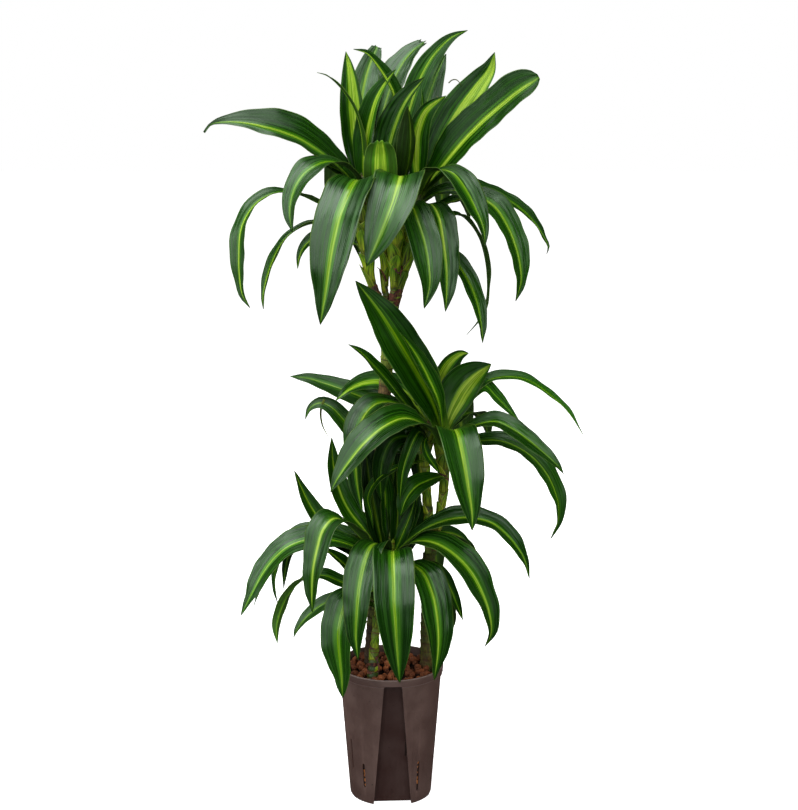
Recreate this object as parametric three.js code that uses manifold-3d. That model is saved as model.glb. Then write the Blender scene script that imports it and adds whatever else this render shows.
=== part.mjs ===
// Potted corn plant: a striped dracaena with three leaf heads, standing in a brown
// hydroculture pot of clay granules. Millimetres, Z up. The origin is the centre of the
// pot's underside and the side with the most leaves faces -Y.
import * as THREE from 'three';
import { mergeVertices } from 'three/addons/utils/BufferGeometryUtils.js';
import Module from 'manifold-3d';

const wasm = await Module();
wasm.setup();

// ---- driving dimensions -------------------------------------------------------------

const GAP = 0.3;                      // clearance between separate pieces that touch

const pot = {
  height: 190,
  baseRadius: 59.6,
  wallTopRadius: 73.6,                // just under the rim band
  rimRadius: 75,
  rimBand: 11,
  wall: 1.8,
  floor: 3,
  sides: 40,
  turn: 3,                            // degrees the pot stands turned, its recess to the right
};
const channel = {                     // water gauge recess in the front wall
  bottomHalfWidth: 26.3,
  topHalfWidth: 12.5,
  top: 181,
  cornerRadius: 3,
  floorAtBase: 42.5,                  // distance from the axis to the recess floor
  lean: 6.2,                          // degrees, the recess floor leans out with the wall
};
const sidePanel = { halfAngle: 26, depth: 1.6, bottom: -1, top: 176 };
const slotWidth = 3.6;
// [degrees from the recess, lower end, upper end] of the drainage slots
const slots = [
  [-39, 23, 60], [35, 18, 63], [-77, 10, 57], [69, 20, 59], [-59, 45, 91],
  [-147, 23, 60], [139, 18, 63], [-107, 12, 58], [105, 20, 60], [121, 45, 91],
];
const clay = { top: 180, pellets: 28, smallest: 5, largest: 8, seed: 7 };

// Stems as [x, y, z, radius]. The canes are bare bark, the others green shoots.
const stems = {
  caneTall: [[-31, 18, 62, 8], [-30, 18, 176, 8], [-26, 17, 250, 7.6], [-17, 11, 425, 8.6],
    [-6, 3, 600, 8.8], [-1, 1, 670, 9.8], [0, 0, 697, 9.2]],
  caneMiddle: [[50, 10, 62, 8.5], [51, 10, 190, 9], [52, 10, 250, 9.2], [54, 10, 330, 9.4],
    [54, 10, 347, 8.6]],
  low: [[-26, -40, 66, 8], [-25, -38, 172, 8.4], [-23, -35, 205, 6.8], [-20, -30, 250, 5],
    [-11, -18, 310, 6.5], [-4, -9, 345, 9.5], [-2, -5, 372, 8], [-1, -4, 400, 3.5]],
  upperLeft: [[-4, 0, 690, 5.2], [-14, -2, 706, 5.6], [-22, -1, 720, 5.6], [-28, 0, 740, 6.2],
    [-31, 0, 765, 8], [-34, 0, 800, 9.5], [-34, 0, 862, 10], [-34, 0, 890, 7],
    [-34, 2, 920, 3]],
  upperSlim: [[-3, 3, 692, 4], [-7, 6, 720, 4.4], [-7, 7, 745, 5], [-7, 6, 765, 6.5],
    [-6, 5, 785, 9], [-9, 3, 820, 9.5], [-9, 2, 885, 7], [-9, 4, 915, 3]],
  upperFront: [[2, -3, 692, 4.4], [5, -7, 722, 4.8], [5.5, -9, 745, 6], [6, -9, 765, 8],
    [7, -8, 785, 9.5], [10, -6, 820, 10], [10, -4, 885, 7], [11, -4, 915, 3]],
  upperRight: [[4, 0, 690, 6.4], [9, 1, 712, 6.6], [14, 2, 735, 7.8], [19, 3, 752, 8.6],
    [23, 3, 770, 9.4], [31, 4, 800, 10.5], [38, 3, 840, 10.5], [40, 2, 865, 10],
    [41, 3, 895, 7], [42, 4, 925, 3]],
  middleLeft: [[53, 10, 338, 5.4], [53, 10, 400, 6.2], [50, 10, 440, 6.2], [48, 12, 480, 6.6],
    [52, 13, 512, 8.5], [57, 13, 532, 7], [60, 13, 552, 3.5]],
  middleRight: [[59, 11, 344, 5], [69, 12, 400, 5.8], [75, 12, 452, 6.2], [72, 11, 480, 8],
    [70, 10, 508, 9.5], [71, 12, 524, 7.5], [73, 12, 545, 3]],
};

// Leaves. Each row is [name, width, [turn at root, turn at tip], midrib points].
// A point is [x, z, y]: x and z are measured on the plane y = 0 as the eye sees them,
// and y is how far the point lies behind that plane. A positive turn, in degrees, rolls
// the leaf's upper face towards the eye.
const eye = new THREE.Vector3(12, -2000, 920);

const upperLeaves = [
  // left side of the head
  ['big_left', 54, [35, 62], [[-32, 848, 5], [-58, 875, -5], [-85, 901, -20], [-115, 922, -35],
    [-150, 936, -45], [-185, 943, -50], [-215, 944, -52], [-238, 939, -54], [-247, 928, -55]]],
  ['left_hook', 42, [20, 10], [[-32, 846, -6], [-55, 880, -35], [-82, 889, -55], [-107, 879, -75],
    [-123, 861, -85], [-132, 838, -92], [-134, 816, -95], [-131, 796, -96]]],
  ['left_long', 36, [-30, 65], [[-34, 806, 3], [-65, 822, 12], [-95, 834, 16], [-122, 846, 12],
    [-150, 849, 5], [-174, 839, -5], [-190, 822, -12], [-201, 798, -18], [-204, 768, -20],
    [-204, 738, -20], [-200, 711, -20], [-190, 694, -20]]],
  ['left_thin', 25, [-25, 55], [[-34, 786, 2], [-70, 801, 10], [-100, 808, 15], [-123, 801, 12],
    [-143, 785, 8], [-157, 761, 5], [-166, 737, 2], [-172, 712, 0], [-172, 692, 0]]],
  ['left_short', 22, [10, 75], [[-33, 776, 2], [-75, 788, 22], [-100, 789, 26], [-115, 778, 27],
    [-122, 764, 27], [-125, 747, 27]]],
  ['left_dark', 32, [40, 40], [[-32, 842, -4], [-60, 873, -10], [-98, 892, -15]]],
  // hanging in front
  ['in_left', 26, [60, 125], [[-34, 846, 2], [-36, 862, 10], [-42, 852, 16], [-45, 822, 19],
    [-44, 792, 19], [-42, 764, 18]]],
  ['front_left', 66, [0, 0], [[-32, 840, -6], [-40, 864, -50], [-50, 858, -100], [-66, 820, -138],
    [-78, 770, -150], [-87, 715, -150], [-95, 671, -145]]],
  ['front_mid', 68, [0, 0], [[2, 842, -10], [14, 870, -60], [12, 862, -100], [1, 829, -128],
    [-12, 795, -142], [-32, 750, -147]]],
  ['front_blunt', 46, [0, 0], [[-11, 838, -6], [-13, 870, -45], [-13, 900, -62], [-13, 917, -80]]],
  ['front_right_a', 46, [0, 0], [[14, 828, -8], [28, 832, -60], [36, 812, -85], [45, 785, -100],
    [51, 755, -108], [53, 725, -110], [46, 693, -110]]],
  ['front_right_b', 40, [0, 0], [[36, 822, -4], [54, 834, -40], [66, 817, -65], [73, 780, -80],
    [77, 745, -86], [77, 715, -88], [75, 689, -88]]],
  ['front_right_c', 32, [20, 25], [[34, 786, 3], [62, 784, -10], [80, 765, -20], [97, 745, -30],
    [110, 722, -36], [119, 697, -40], [124, 670, -42], [126, 646, -42]]],
  ['right_hook', 46, [10, 0], [[38, 842, -2], [58, 876, -45], [82, 875, -75], [101, 853, -95],
    [115, 827, -105], [125, 803, -110], [128, 778, -112]]],
  // right side of the head
  ['right_long', 44, [25, 30], [[35, 820, 3], [62, 828, 0], [88, 838, -15], [114, 843, -30],
    [138, 832, -45], [156, 808, -52], [168, 781, -56], [175, 754, -58], [177, 730, -58],
    [170, 703, -56]]],
  ['right_pale', 32, [10, 40], [[37, 830, 5], [75, 853, 12], [105, 859, 18], [133, 852, 22],
    [158, 839, 22], [180, 823, 22], [196, 806, 22], [206, 791, 22], [213, 777, 22], [211, 767, 22]]],
  ['right_striped', 28, [30, 30], [[36, 830, 0], [55, 845, -15], [80, 852, -25], [105, 848, -30],
    [120, 838, -30]]],
  ['right_thin', 26, [5, 20], [[34, 802, 5], [75, 816, 20], [93, 819, 28], [107, 808, 35],
    [119, 790, 40], [127, 765, 42], [131, 735, 42], [130, 705, 40], [120, 678, 38], [104, 657, 36]]],
  ['right_top', 62, [55, 62], [[40, 848, -2], [75, 892, -20], [108, 930, -32], [143, 962, -42],
    [172, 985, -50], [197, 1000, -55]]],
  ['right_lime', 50, [60, 62], [[40, 852, 2], [66, 912, 8], [90, 955, 15], [112, 986, 20],
    [130, 1010, 25], [138, 1032, 28]]],
  // standing leaves of the crown
  ['up_lime_left', 35, [40, 40], [[-35, 850, 2], [-46, 905, 4], [-51, 950, 7], [-54, 1000, 12],
    [-58, 1033, 20]]],
  ['up_blunt_left', 42, [10, 10], [[-34, 850, 4], [-40, 930, 40], [-36, 975, 60], [-28, 1010, 75],
    [-16, 1040, 85]]],
  ['up_thin_left', 18, [15, 15], [[-34, 850, -2], [-38, 925, -20], [-46, 955, -25], [-62, 982, -30],
    [-82, 1001, -35], [-96, 1006, -38]]],
  ['up_left_mid', 29, [85, 95], [[-36, 850, -4], [-37, 905, -14], [-30, 945, -20], [-20, 975, -24],
    [-6, 996, -26], [8, 1010, -27]]],
  ['up_curled', 20, [80, 80], [[8, 852, -2], [14, 930, -12], [12, 965, -18], [4, 990, -22],
    [-12, 1014, -26], [-30, 1032, -30], [-48, 1036, -32]]],
  ['up_blunt_back', 50, [0, 0], [[-9, 852, 6], [-14, 920, 50], [-6, 968, 75], [10, 1008, 95],
    [29, 1033, 110], [47, 1046, 118]]],
  ['up_tallest', 35, [50, 50], [[11, 850, 0], [20, 930, 25], [30, 968, 35], [42, 1001, 42],
    [59, 1029, 50], [80, 1050, 58], [102, 1060, 65]]],
  ['up_back_right', 42, [40, 40], [[36, 850, 6], [38, 925, 40], [47, 960, 55], [57, 992, 65],
    [74, 1030, 80]]],
  ['up_dark_mid', 33, [95, 95], [[-8, 850, -4], [-8, 900, -18], [-3, 928, -24], [6, 952, -30],
    [22, 978, -34], [46, 1000, -38]]],
  ['up_sliver', 14, [60, 60], [[40, 866, 0], [43, 958, 5], [42, 985, 8]]],
  ['up_dark_front', 30, [20, 20], [[13, 848, -6], [22, 900, -40], [24, 940, -50], [23, 963, -56]]],
  ['up_dark_slim', 22, [20, 20], [[10, 848, -4], [13, 900, -35], [19, 950, -40]]],
  ['up_lime_right', 32, [105, 100], [[38, 850, -3], [37, 900, -12], [40, 930, -16], [50, 956, -20],
    [74, 976, -24]]],
  // hidden side
  ['back_a', 40, [0, 0], [[-33, 845, 4], [-50, 880, 45], [-62, 892, 85], [-70, 880, 125],
    [-76, 850, 150], [-78, 815, 160]]],
  ['back_b', 44, [0, 0], [[-12, 848, 4], [-28, 890, 65], [-34, 905, 115], [-34, 893, 160],
    [-32, 860, 186], [-30, 812, 198]]],
  ['back_c', 44, [0, 0], [[-8, 850, 4], [-5, 892, 70], [-4, 906, 120], [-4, 893, 165], [-5, 858, 190],
    [-5, 810, 202]]],
  ['back_d', 44, [0, 0], [[11, 850, 2], [22, 890, 65], [27, 900, 115], [30, 886, 158], [32, 852, 182],
    [32, 805, 192]]],
  ['back_e', 42, [0, 0], [[38, 845, 5], [46, 880, 60], [57, 890, 105], [65, 876, 143], [69, 848, 163],
    [70, 810, 170]]],
  ['back_f', 36, [0, 0], [[39, 845, 4], [64, 852, 35], [84, 852, 60], [98, 838, 88],
    [107, 814, 102]]],
  ['back_g', 40, [0, 0], [[-9, 852, 4], [-18, 915, 60], [-20, 955, 90], [-14, 985, 112]]],
  ['back_h', 40, [0, 0], [[12, 852, 3], [20, 910, 60], [28, 950, 90], [36, 978, 112]]],
  ['back_low_a', 34, [0, 0], [[-33, 790, 2], [-45, 800, 45], [-62, 785, 80], [-72, 755, 95],
    [-75, 718, 98]]],
  ['back_low_b', 34, [0, 0], [[8, 792, -10], [35, 800, 55], [48, 785, 92], [54, 755, 110],
    [56, 718, 116]]],
];
const middleLeaves = [
  // standing leaves
  ['up_left_big', 62, [62, 78], [[72, 518, -5], [57, 562, -12], [37, 600, -18], [13, 642, -22],
    [-15, 688, -25], [-47, 731, -26]]],
  ['up_left_slim', 30, [60, 70], [[72, 526, -6], [66, 565, -24], [52, 598, -32], [34, 632, -38],
    [13, 661, -42]]],
  ['up_left_thin', 28, [40, 55], [[52, 524, 8], [22, 560, -15], [-5, 595, -27], [-25, 617, -33],
    [-42, 635, -37], [-57, 644, -39]]],
  ['up_right_wide', 54, [50, 60], [[73, 522, 10], [82, 556, 18], [95, 583, 30], [114, 603, 40],
    [138, 617, 48]]],
  ['up_right_short', 38, [70, 75], [[62, 538, 14], [68, 588, 40], [75, 608, 50], [86, 622, 60],
    [97, 630, 67], [107, 632, 73]]],
  // left side of the head
  ['left_flat', 36, [38, 58], [[52, 528, 14], [5, 556, 32], [-35, 569, 40], [-65, 581, 44],
    [-90, 590, 46], [-113, 597, 46], [-137, 600, 46]]],
  ['left_arch', 32, [45, 60], [[54, 534, 14], [20, 578, 34], [-10, 593, 36], [-35, 592, 33],
    [-52, 585, 24], [-63, 577, 14], [-75, 566, 8]]],
  ['left_tail', 31, [50, 60], [[49, 495, 14], [10, 500, 34], [-15, 508, 40], [-48, 522, 45],
    [-66, 541, 47], [-80, 556, 47], [-96, 563, 47], [-110, 556, 47], [-117, 540, 47]]],
  ['left_behind', 46, [15, 10], [[56, 522, 6], [28, 553, -20], [5, 563, -32], [-18, 562, -42],
    [-34, 548, -50], [-44, 525, -54], [-48, 495, -56], [-47, 462, -56], [-43, 430, -54],
    [-38, 405, -53]]],
  ['left_front', 56, [20, 20], [[66, 505, 0], [50, 530, -50], [20, 541, -75], [-8, 530, -95],
    [-35, 507, -108], [-58, 479, -114], [-74, 455, -116], [-83, 437, -116]]],
  ['left_olive', 22, [45, 60], [[52, 512, 10], [39, 522, -22], [27, 498, -34], [17, 465, -38],
    [13, 425, -38]]],
  ['left_dark', 30, [45, 70], [[51, 514, 8], [5, 512, -26], [-10, 485, -33], [-14, 452, -36],
    [-12, 424, -37]]],
  ['left_strap', 14, [20, 30], [[49, 482, 8], [15, 474, -26], [-18, 455, -38], [-31, 430, -38],
    [-27, 408, -36], [-24, 384, -34]]],
  ['low_left', 36, [20, 30], [[73, 460, 8], [52, 454, -16], [34, 444, -26], [21, 426, -30],
    [14, 403, -30]]],
  ['in_grey', 18, [50, 60], [[50, 505, 10], [32, 530, 2], [18, 528, -8], [11, 514, -13],
    [9, 497, -15]]],
  ['in_dark', 36, [60, 112], [[52, 510, 13], [25, 538, 30], [8, 530, 36], [3, 500, 38],
    [4, 465, 38], [6, 425, 36]]],
  ['in_dark_left', 42, [60, 108], [[51, 512, 13], [12, 540, 34], [-14, 532, 42], [-29, 505, 44],
    [-34, 470, 44], [-33, 425, 42]]],
  ['in_olive', 30, [60, 135], [[54, 505, 13], [50, 524, 26], [43, 510, 32], [40, 482, 34],
    [40, 440, 34]]],
  ['in_small', 12, [20, 60], [[52, 518, 6], [47, 507, -3], [51, 491, -6], [60, 477, -7],
    [68, 464, -6]]],
  ['up_lime', 28, [60, 60], [[72, 520, 12], [84, 545, 22], [98, 567, 30], [109, 590, 36]]],
  // front and right side
  ['front_hanging', 56, [0, 0], [[67, 505, 5], [86, 525, -55], [92, 520, -88], [98, 495, -108],
    [104, 465, -118], [109, 435, -122], [113, 408, -122], [114, 382, -122]]],
  ['right_far', 27, [15, 30], [[72, 524, 14], [97, 545, 28], [112, 575, 40], [132, 593, 50],
    [157, 599, 55], [185, 596, 55], [213, 579, 52], [243, 552, 48], [266, 518, 44]]],
  ['right_edge', 24, [60, 60], [[73, 535, 18], [126, 588, 45], [145, 572, 52], [161, 555, 55],
    [178, 537, 56]]],
  ['right_high', 36, [20, 35], [[68, 508, 10], [100, 523, -5], [122, 533, -15], [146, 536, -25],
    [170, 525, -35], [195, 507, -42], [215, 490, -46], [230, 476, -48], [240, 463, -48]]],
  ['right_low', 40, [20, 35], [[70, 488, 10], [100, 504, 8], [126, 510, 5], [152, 510, 0],
    [178, 500, -5], [200, 484, -10], [216, 465, -14], [227, 443, -16], [234, 418, -18],
    [233, 393, -18], [223, 369, -18]]],
  // hidden side
  ['back_a', 40, [0, 0], [[54, 524, 14], [52, 555, 60], [40, 568, 105], [24, 558, 140], [10, 528, 158],
    [4, 495, 163]]],
  ['back_b', 44, [0, 0], [[70, 524, 16], [70, 560, 70], [66, 572, 120], [63, 558, 162],
    [62, 530, 182]]],
  ['back_c', 44, [0, 0], [[72, 526, 16], [84, 560, 65], [91, 570, 110], [96, 553, 148],
    [99, 518, 170], [100, 480, 178]]],
  ['back_d', 36, [0, 0], [[72, 518, 14], [100, 545, 50], [118, 549, 80], [130, 535, 102],
    [136, 512, 112]]],
  ['back_e', 34, [40, 40], [[56, 532, 14], [45, 582, 40], [27, 618, 55]]],
];
const lowerLeaves = [
  // left side of the head
  ['up_left', 34, [25, 35], [[-5, 342, -10], [-35, 382, -14], [-58, 412, 0], [-72, 444, 12],
    [-79, 480, 20], [-81, 515, 26]]],
  ['up_far_left', 30, [30, 40], [[-6, 338, -10], [-42, 358, -12], [-74, 374, 2], [-96, 396, 16],
    [-112, 420, 22], [-124, 445, 26], [-133, 468, 28]]],
  ['left_long', 46, [20, 40], [[-8, 334, -12], [-45, 356, -14], [-80, 368, -16], [-113, 369, -22],
    [-142, 359, -30], [-164, 340, -35], [-181, 316, -39], [-195, 290, -42], [-211, 258, -44]]],
  ['left_under', 30, [10, 30], [[-8, 326, -10], [-45, 350, -12], [-80, 371, 10], [-138, 362, 25],
    [-173, 322, 28], [-193, 270, 30]]],
  ['left_hanging', 46, [10, 15], [[-6, 336, -14], [-40, 370, -40], [-60, 391, -62], [-78, 399, -80],
    [-93, 383, -95], [-102, 353, -103], [-108, 323, -107], [-110, 293, -108], [-110, 263, -108]]],
  ['left_back', 26, [0, 75], [[-3, 338, -6], [2, 352, 34], [-40, 370, 50], [-75, 381, 56],
    [-105, 384, 58], [-129, 379, 60], [-149, 360, 60], [-160, 332, 60], [-163, 302, 60],
    [-159, 277, 60]]],
  ['left_back_slim', 24, [10, 80], [[-8, 320, -14], [-45, 345, -16], [-80, 368, 12],
    [-120, 370, 28], [-139, 352, 32], [-147, 325, 34], [-150, 298, 34]]],
  ['left_low', 29, [70, -75], [[-14, 292, -20], [-40, 297, -16], [-68, 307, -10], [-95, 317, -4],
    [-121, 311, -2], [-142, 291, -2], [-155, 265, -3], [-161, 240, -4], [-160, 217, -4]]],
  ['left_lowest', 28, [20, 30], [[-18, 270, -26], [-50, 282, -32], [-80, 281, -40], [-102, 270, -47],
    [-118, 256, -51], [-130, 241, -53], [-137, 226, -54]]],
  ['left_inner', 26, [35, 40], [[-14, 300, -16], [-40, 313, -22], [-62, 331, -30], [-80, 347, -36],
    [-96, 358, -40]]],
  // hanging in front
  ['up_in_right', 28, [70, 80], [[10, 336, 6], [24, 368, 18], [34, 400, 22], [39, 435, 22]]],
  ['front_left_low', 54, [0, 0], [[-17, 278, -26], [-43, 290, -60], [-60, 280, -85],
    [-69, 256, -98], [-73, 230, -104], [-72, 202, -106], [-69, 170, -106], [-68, 136, -104]]],
  ['front_left', 45, [0, 0], [[-5, 338, -14], [-16, 363, -58], [-29, 356, -90], [-39, 328, -112],
    [-45, 295, -124], [-48, 260, -130], [-49, 228, -130], [-46, 193, -128]]],
  ['front_mid', 57, [0, 0], [[-3, 332, -14], [3, 353, -70], [3, 345, -105], [4, 315, -130],
    [5, 280, -142], [7, 245, -145], [9, 212, -142], [11, 185, -138], [13, 159, -132]]],
  ['front_right', 52, [0, 0], [[-5, 318, -14], [26, 333, -60], [46, 320, -88], [58, 292, -104],
    [64, 263, -112], [67, 235, -115], [67, 206, -115], [62, 163, -112]]],
  // right side
  ['right_front', 54, [10, 10], [[-1, 338, -12], [35, 366, -42], [64, 363, -62], [91, 346, -80],
    [113, 321, -92], [129, 291, -98], [139, 262, -101], [142, 233, -101], [133, 212, -100]]],
  ['right_long', 40, [20, 30], [[-1, 342, -10], [25, 368, -16], [50, 386, -26], [80, 398, -34],
    [110, 401, -41], [140, 394, -46], [160, 379, -48], [174, 363, -50], [187, 342, -50],
    [195, 312, -50]]],
  ['right_back', 30, [10, 20], [[-3, 342, -4], [28, 366, 28], [55, 376, 37], [80, 379, 39],
    [100, 371, 39], [114, 350, 37], [119, 325, 35]]],
  ['right_inner', 24, [10, 60], [[-7, 308, -14], [40, 323, -20], [60, 327, -22], [75, 314, -22],
    [86, 293, -22], [94, 273, -20], [102, 252, -18]]],
  ['right_low_back', 26, [0, 0], [[-11, 297, -18], [28, 306, 29], [58, 308, 39], [79, 288, 39],
    [88, 260, 37], [83, 227, 35]]],
  // standing leaves
  ['up_mid', 32, [60, 60], [[-3, 344, -10], [-6, 395, -15], [-8, 440, -16], [-14, 478, -17],
    [-18, 498, -17]]],
  ['up_dark', 34, [60, 60], [[-7, 340, -14], [-17, 385, -18], [-25, 430, -18], [-31, 468, -14],
    [-34, 498, -10]]],
  ['up_behind', 28, [60, 60], [[0, 342, -9], [9, 385, -6], [10, 430, 0], [8, 475, 4]]],
  ['up_slant', 20, [50, 50], [[1, 340, -9], [16, 375, -8], [27, 402, -4], [36, 432, 0]]],
  ['up_right', 26, [50, 50], [[-1, 344, -8], [20, 385, 4], [34, 418, 8], [40, 445, 10]]],
  // hidden side
  ['back_a', 42, [0, 0], [[-3, 344, -4], [-9, 385, 62], [-20, 398, 110], [-32, 385, 148],
    [-41, 350, 170], [-45, 310, 178]]],
  ['back_b', 44, [0, 0], [[-2, 344, -4], [5, 385, 70], [8, 398, 120], [10, 384, 160], [12, 350, 183],
    [12, 305, 190]]],
  ['back_c', 42, [0, 0], [[-1, 344, -5], [28, 380, 60], [45, 387, 105], [58, 371, 140],
    [64, 340, 156], [66, 300, 160]]],
  ['back_d', 38, [0, 0], [[-1, 342, -6], [45, 371, 45], [80, 376, 68], [105, 360, 89], [118, 333, 98],
    [124, 298, 100]]],
  ['back_e', 38, [0, 0], [[-2, 342, -5], [3, 360, 40], [-45, 377, 64], [-75, 379, 83],
    [-96, 361, 98], [-104, 333, 106]]],
  ['back_low_a', 34, [0, 0], [[-8, 302, -14], [-4, 314, 42], [-25, 304, 74], [-40, 272, 87],
    [-45, 235, 90]]],
  ['back_low_b', 34, [0, 0], [[-7, 302, -14], [12, 314, 42], [16, 300, 76], [16, 265, 92],
    [15, 230, 95]]],
];

const leaf = {
  ribThickness: 1.7,                  // the blade thins out from the midrib to its edges
  fold: 16,                           // degrees that each half rises from the midrib
  sheath: 0.42,                       // width at the root over the full width
  fullWidthFrom: 0.42,                // stretch of full width, in parts of the length
  fullWidthTo: 0.52,
  tipRadius: 0.35,
  segmentLength: 30,
  fewestSegments: 5,
  mostSegments: 7,
};
const bluntLeaves = new Set(['front_blunt', 'up_blunt_left', 'up_blunt_back', 'right_top']);

// ---- shape helpers --------------------------------------------------------------------

const radians = THREE.MathUtils.degToRad;

function solid(geometry) {
  const bare = new THREE.BufferGeometry();
  bare.setAttribute('position', geometry.getAttribute('position'));
  bare.setIndex(geometry.getIndex());
  const merged = mergeVertices(bare, 1e-4);
  return new wasm.Manifold(new wasm.Mesh({
    numProp: 3,
    vertProperties: new Float32Array(merged.getAttribute('position').array),
    triVerts: new Uint32Array(merged.getIndex().array),
  }));
}

function ringSolid(rings) {
  // A closed skin over rings of points with equal counts, with a fan at each end.
  const count = rings[0].length;
  const index = [];
  for (let i = 0; i + 1 < rings.length; i += 1) {
    for (let j = 0; j < count; j += 1) {
      const a = i * count + j;
      const b = i * count + (j + 1) % count;
      index.push(a, b, b + count, a, b + count, a + count);
    }
  }
  const last = (rings.length - 1) * count;
  for (let j = 1; j + 1 < count; j += 1) {
    index.push(0, j + 1, j, last, last + j, last + j + 1);
  }
  const geometry = new THREE.BufferGeometry();
  const points = rings.flat().flatMap((p) => [p.x, p.y, p.z]);
  geometry.setAttribute('position', new THREE.Float32BufferAttribute(points, 3));
  geometry.setIndex(index);
  return solid(geometry);
}

function turned(profile, sides = pot.sides) {
  const points = profile.map(([r, z]) => new THREE.Vector2(r, z));
  const geometry = new THREE.LatheGeometry(points, sides);
  geometry.rotateX(Math.PI / 2);
  return solid(geometry);
}

function block(x0, x1, y0, y1, z0, z1) {
  const geometry = new THREE.BoxGeometry(x1 - x0, y1 - y0, z1 - z0);
  geometry.translate((x0 + x1) / 2, (y0 + y1) / 2, (z0 + z1) / 2);
  return solid(geometry);
}

function randomStream(seed) {
  let state = seed;
  return () => {
    state = (state * 16807) % 2147483647;
    return state / 2147483647;
  };
}

function mainPiece(body) {
  // Drops the loose scraps that a cut can leave.
  return body.decompose().sort((a, b) => b.volume() - a.volume())[0];
}

// ---- pot --------------------------------------------------------------------------------

function wallRadius(z) {
  const under = pot.height - pot.rimBand;
  return pot.baseRadius + (pot.wallTopRadius - pot.baseRadius) * z / under;
}

function potForm() {
  const under = pot.height - pot.rimBand;
  return turned([
    [0, 0], [pot.baseRadius - 1, 0], [wallRadius(1), 1], [wallRadius(under), under],
    [pot.rimRadius - 0.6, under + 1], [pot.rimRadius, pot.height - 1],
    [pot.rimRadius - 0.6, pot.height], [0, pot.height],
  ]);
}

function potCavity(inset, top) {
  // The space inside the wall, held off it by inset.
  const floor = pot.floor + inset;
  return turned([
    [0, floor], [wallRadius(floor) - pot.wall - inset, floor],
    [wallRadius(top) - pot.wall - inset, top], [0, top],
  ]);
}

function channelForm(grow) {
  const shape = new THREE.Shape();
  const bottom = channel.bottomHalfWidth + grow;
  const top = channel.topHalfWidth + grow;
  const height = channel.top + grow;
  const corner = channel.cornerRadius + grow;
  shape.moveTo(-bottom, -4);
  shape.lineTo(bottom, -4);
  shape.lineTo(top + 0.5, height - corner);
  shape.quadraticCurveTo(top, height, top - corner, height);
  shape.lineTo(corner - top, height);
  shape.quadraticCurveTo(-top, height, -top - 0.5, height - corner);
  shape.closePath();
  const geometry = new THREE.ExtrudeGeometry(shape, {
    depth: 60, bevelEnabled: false, curveSegments: 4,
  });
  geometry.rotateX(Math.PI / 2);
  geometry.rotateX(radians(channel.lean));
  geometry.translate(0, grow - channel.floorAtBase, 0);
  return solid(geometry);
}

function sidePanelForm(side) {
  // A thin skin of the wall between two radial planes, to be taken off the wall.
  const { halfAngle, depth, bottom, top } = sidePanel;
  const skin = turned([
    [wallRadius(bottom) - depth, bottom], [wallRadius(bottom) + 4, bottom],
    [wallRadius(top) + 4, top], [wallRadius(top) - depth, top],
    [wallRadius(bottom) - depth, bottom],
  ]);
  const reach = 120;
  const wedge = new THREE.Shape();
  wedge.moveTo(0, 0);
  wedge.lineTo(side * reach, -reach * Math.tan(radians(halfAngle)));
  wedge.lineTo(side * reach, reach * Math.tan(radians(halfAngle)));
  wedge.closePath();
  const geometry = new THREE.ExtrudeGeometry(wedge, { depth: pot.height, bevelEnabled: false });
  return skin.intersect(solid(geometry));
}

function slotForm([angle, low, high]) {
  const half = slotWidth / 2;
  return block(-half, half, -90, -50, low, high).rotate([0, 0, angle]);
}

function potBody() {
  let body = potForm().subtract(channelForm(0));
  const panels = [-1, 1].map(sidePanelForm);
  for (const panel of panels) body = body.subtract(panel);
  let cavity = potCavity(0, pot.height + 1).subtract(channelForm(pot.wall));
  for (const side of [-1, 1]) {
    // The wall keeps its thickness behind the shallow side panels.
    cavity = cavity.subtract(panels[(side + 1) / 2].translate([-side * pot.wall, 0, 0]));
  }
  body = body.subtract(cavity);
  for (const slot of slots) body = body.subtract(slotForm(slot));
  return mainPiece(body).rotate([0, 0, pot.turn]);
}

// ---- clay granules ------------------------------------------------------------------------

function pelletForm(x, y, z, radius, random) {
  const geometry = new THREE.IcosahedronGeometry(radius, 0);
  geometry.scale(1, 0.85 + 0.2 * random(), 0.75 + 0.2 * random());
  geometry.rotateX(random() * Math.PI);
  geometry.rotateZ(random() * Math.PI);
  geometry.translate(x, y, z);
  return solid(geometry);
}

function clayBody() {
  // A core that fills the pot, with pellets heaped over its top in a sunflower pattern.
  const random = randomStream(clay.seed);
  const parts = [potCavity(GAP, clay.top)];
  const reach = wallRadius(clay.top) - pot.wall - GAP - clay.largest - 0.5;
  const goldenAngle = Math.PI * (3 - Math.sqrt(5));
  for (let i = 0; i < clay.pellets; i += 1) {
    const radius = clay.smallest + (clay.largest - clay.smallest) * random();
    const ring = reach * Math.sqrt((i + 0.5) / clay.pellets);
    const angle = i * goldenAngle;
    const height = clay.top + 0.5 + 2.5 * random();
    parts.push(pelletForm(ring * Math.cos(angle), ring * Math.sin(angle), height, radius, random));
  }
  let body = wasm.Manifold.union(parts).subtract(channelForm(pot.wall + GAP));
  for (const side of [-1, 1]) {
    const panel = sidePanelForm(side).translate([-side * (pot.wall + GAP), 0, 0]);
    body = body.subtract(panel);
  }
  body = body.rotate([0, 0, pot.turn]);
  for (const name of ['caneTall', 'caneMiddle', 'low']) {
    body = body.subtract(stemBody(stems[name], GAP));
  }
  return mainPiece(body);
}

// ---- stems ----------------------------------------------------------------------------------

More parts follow.
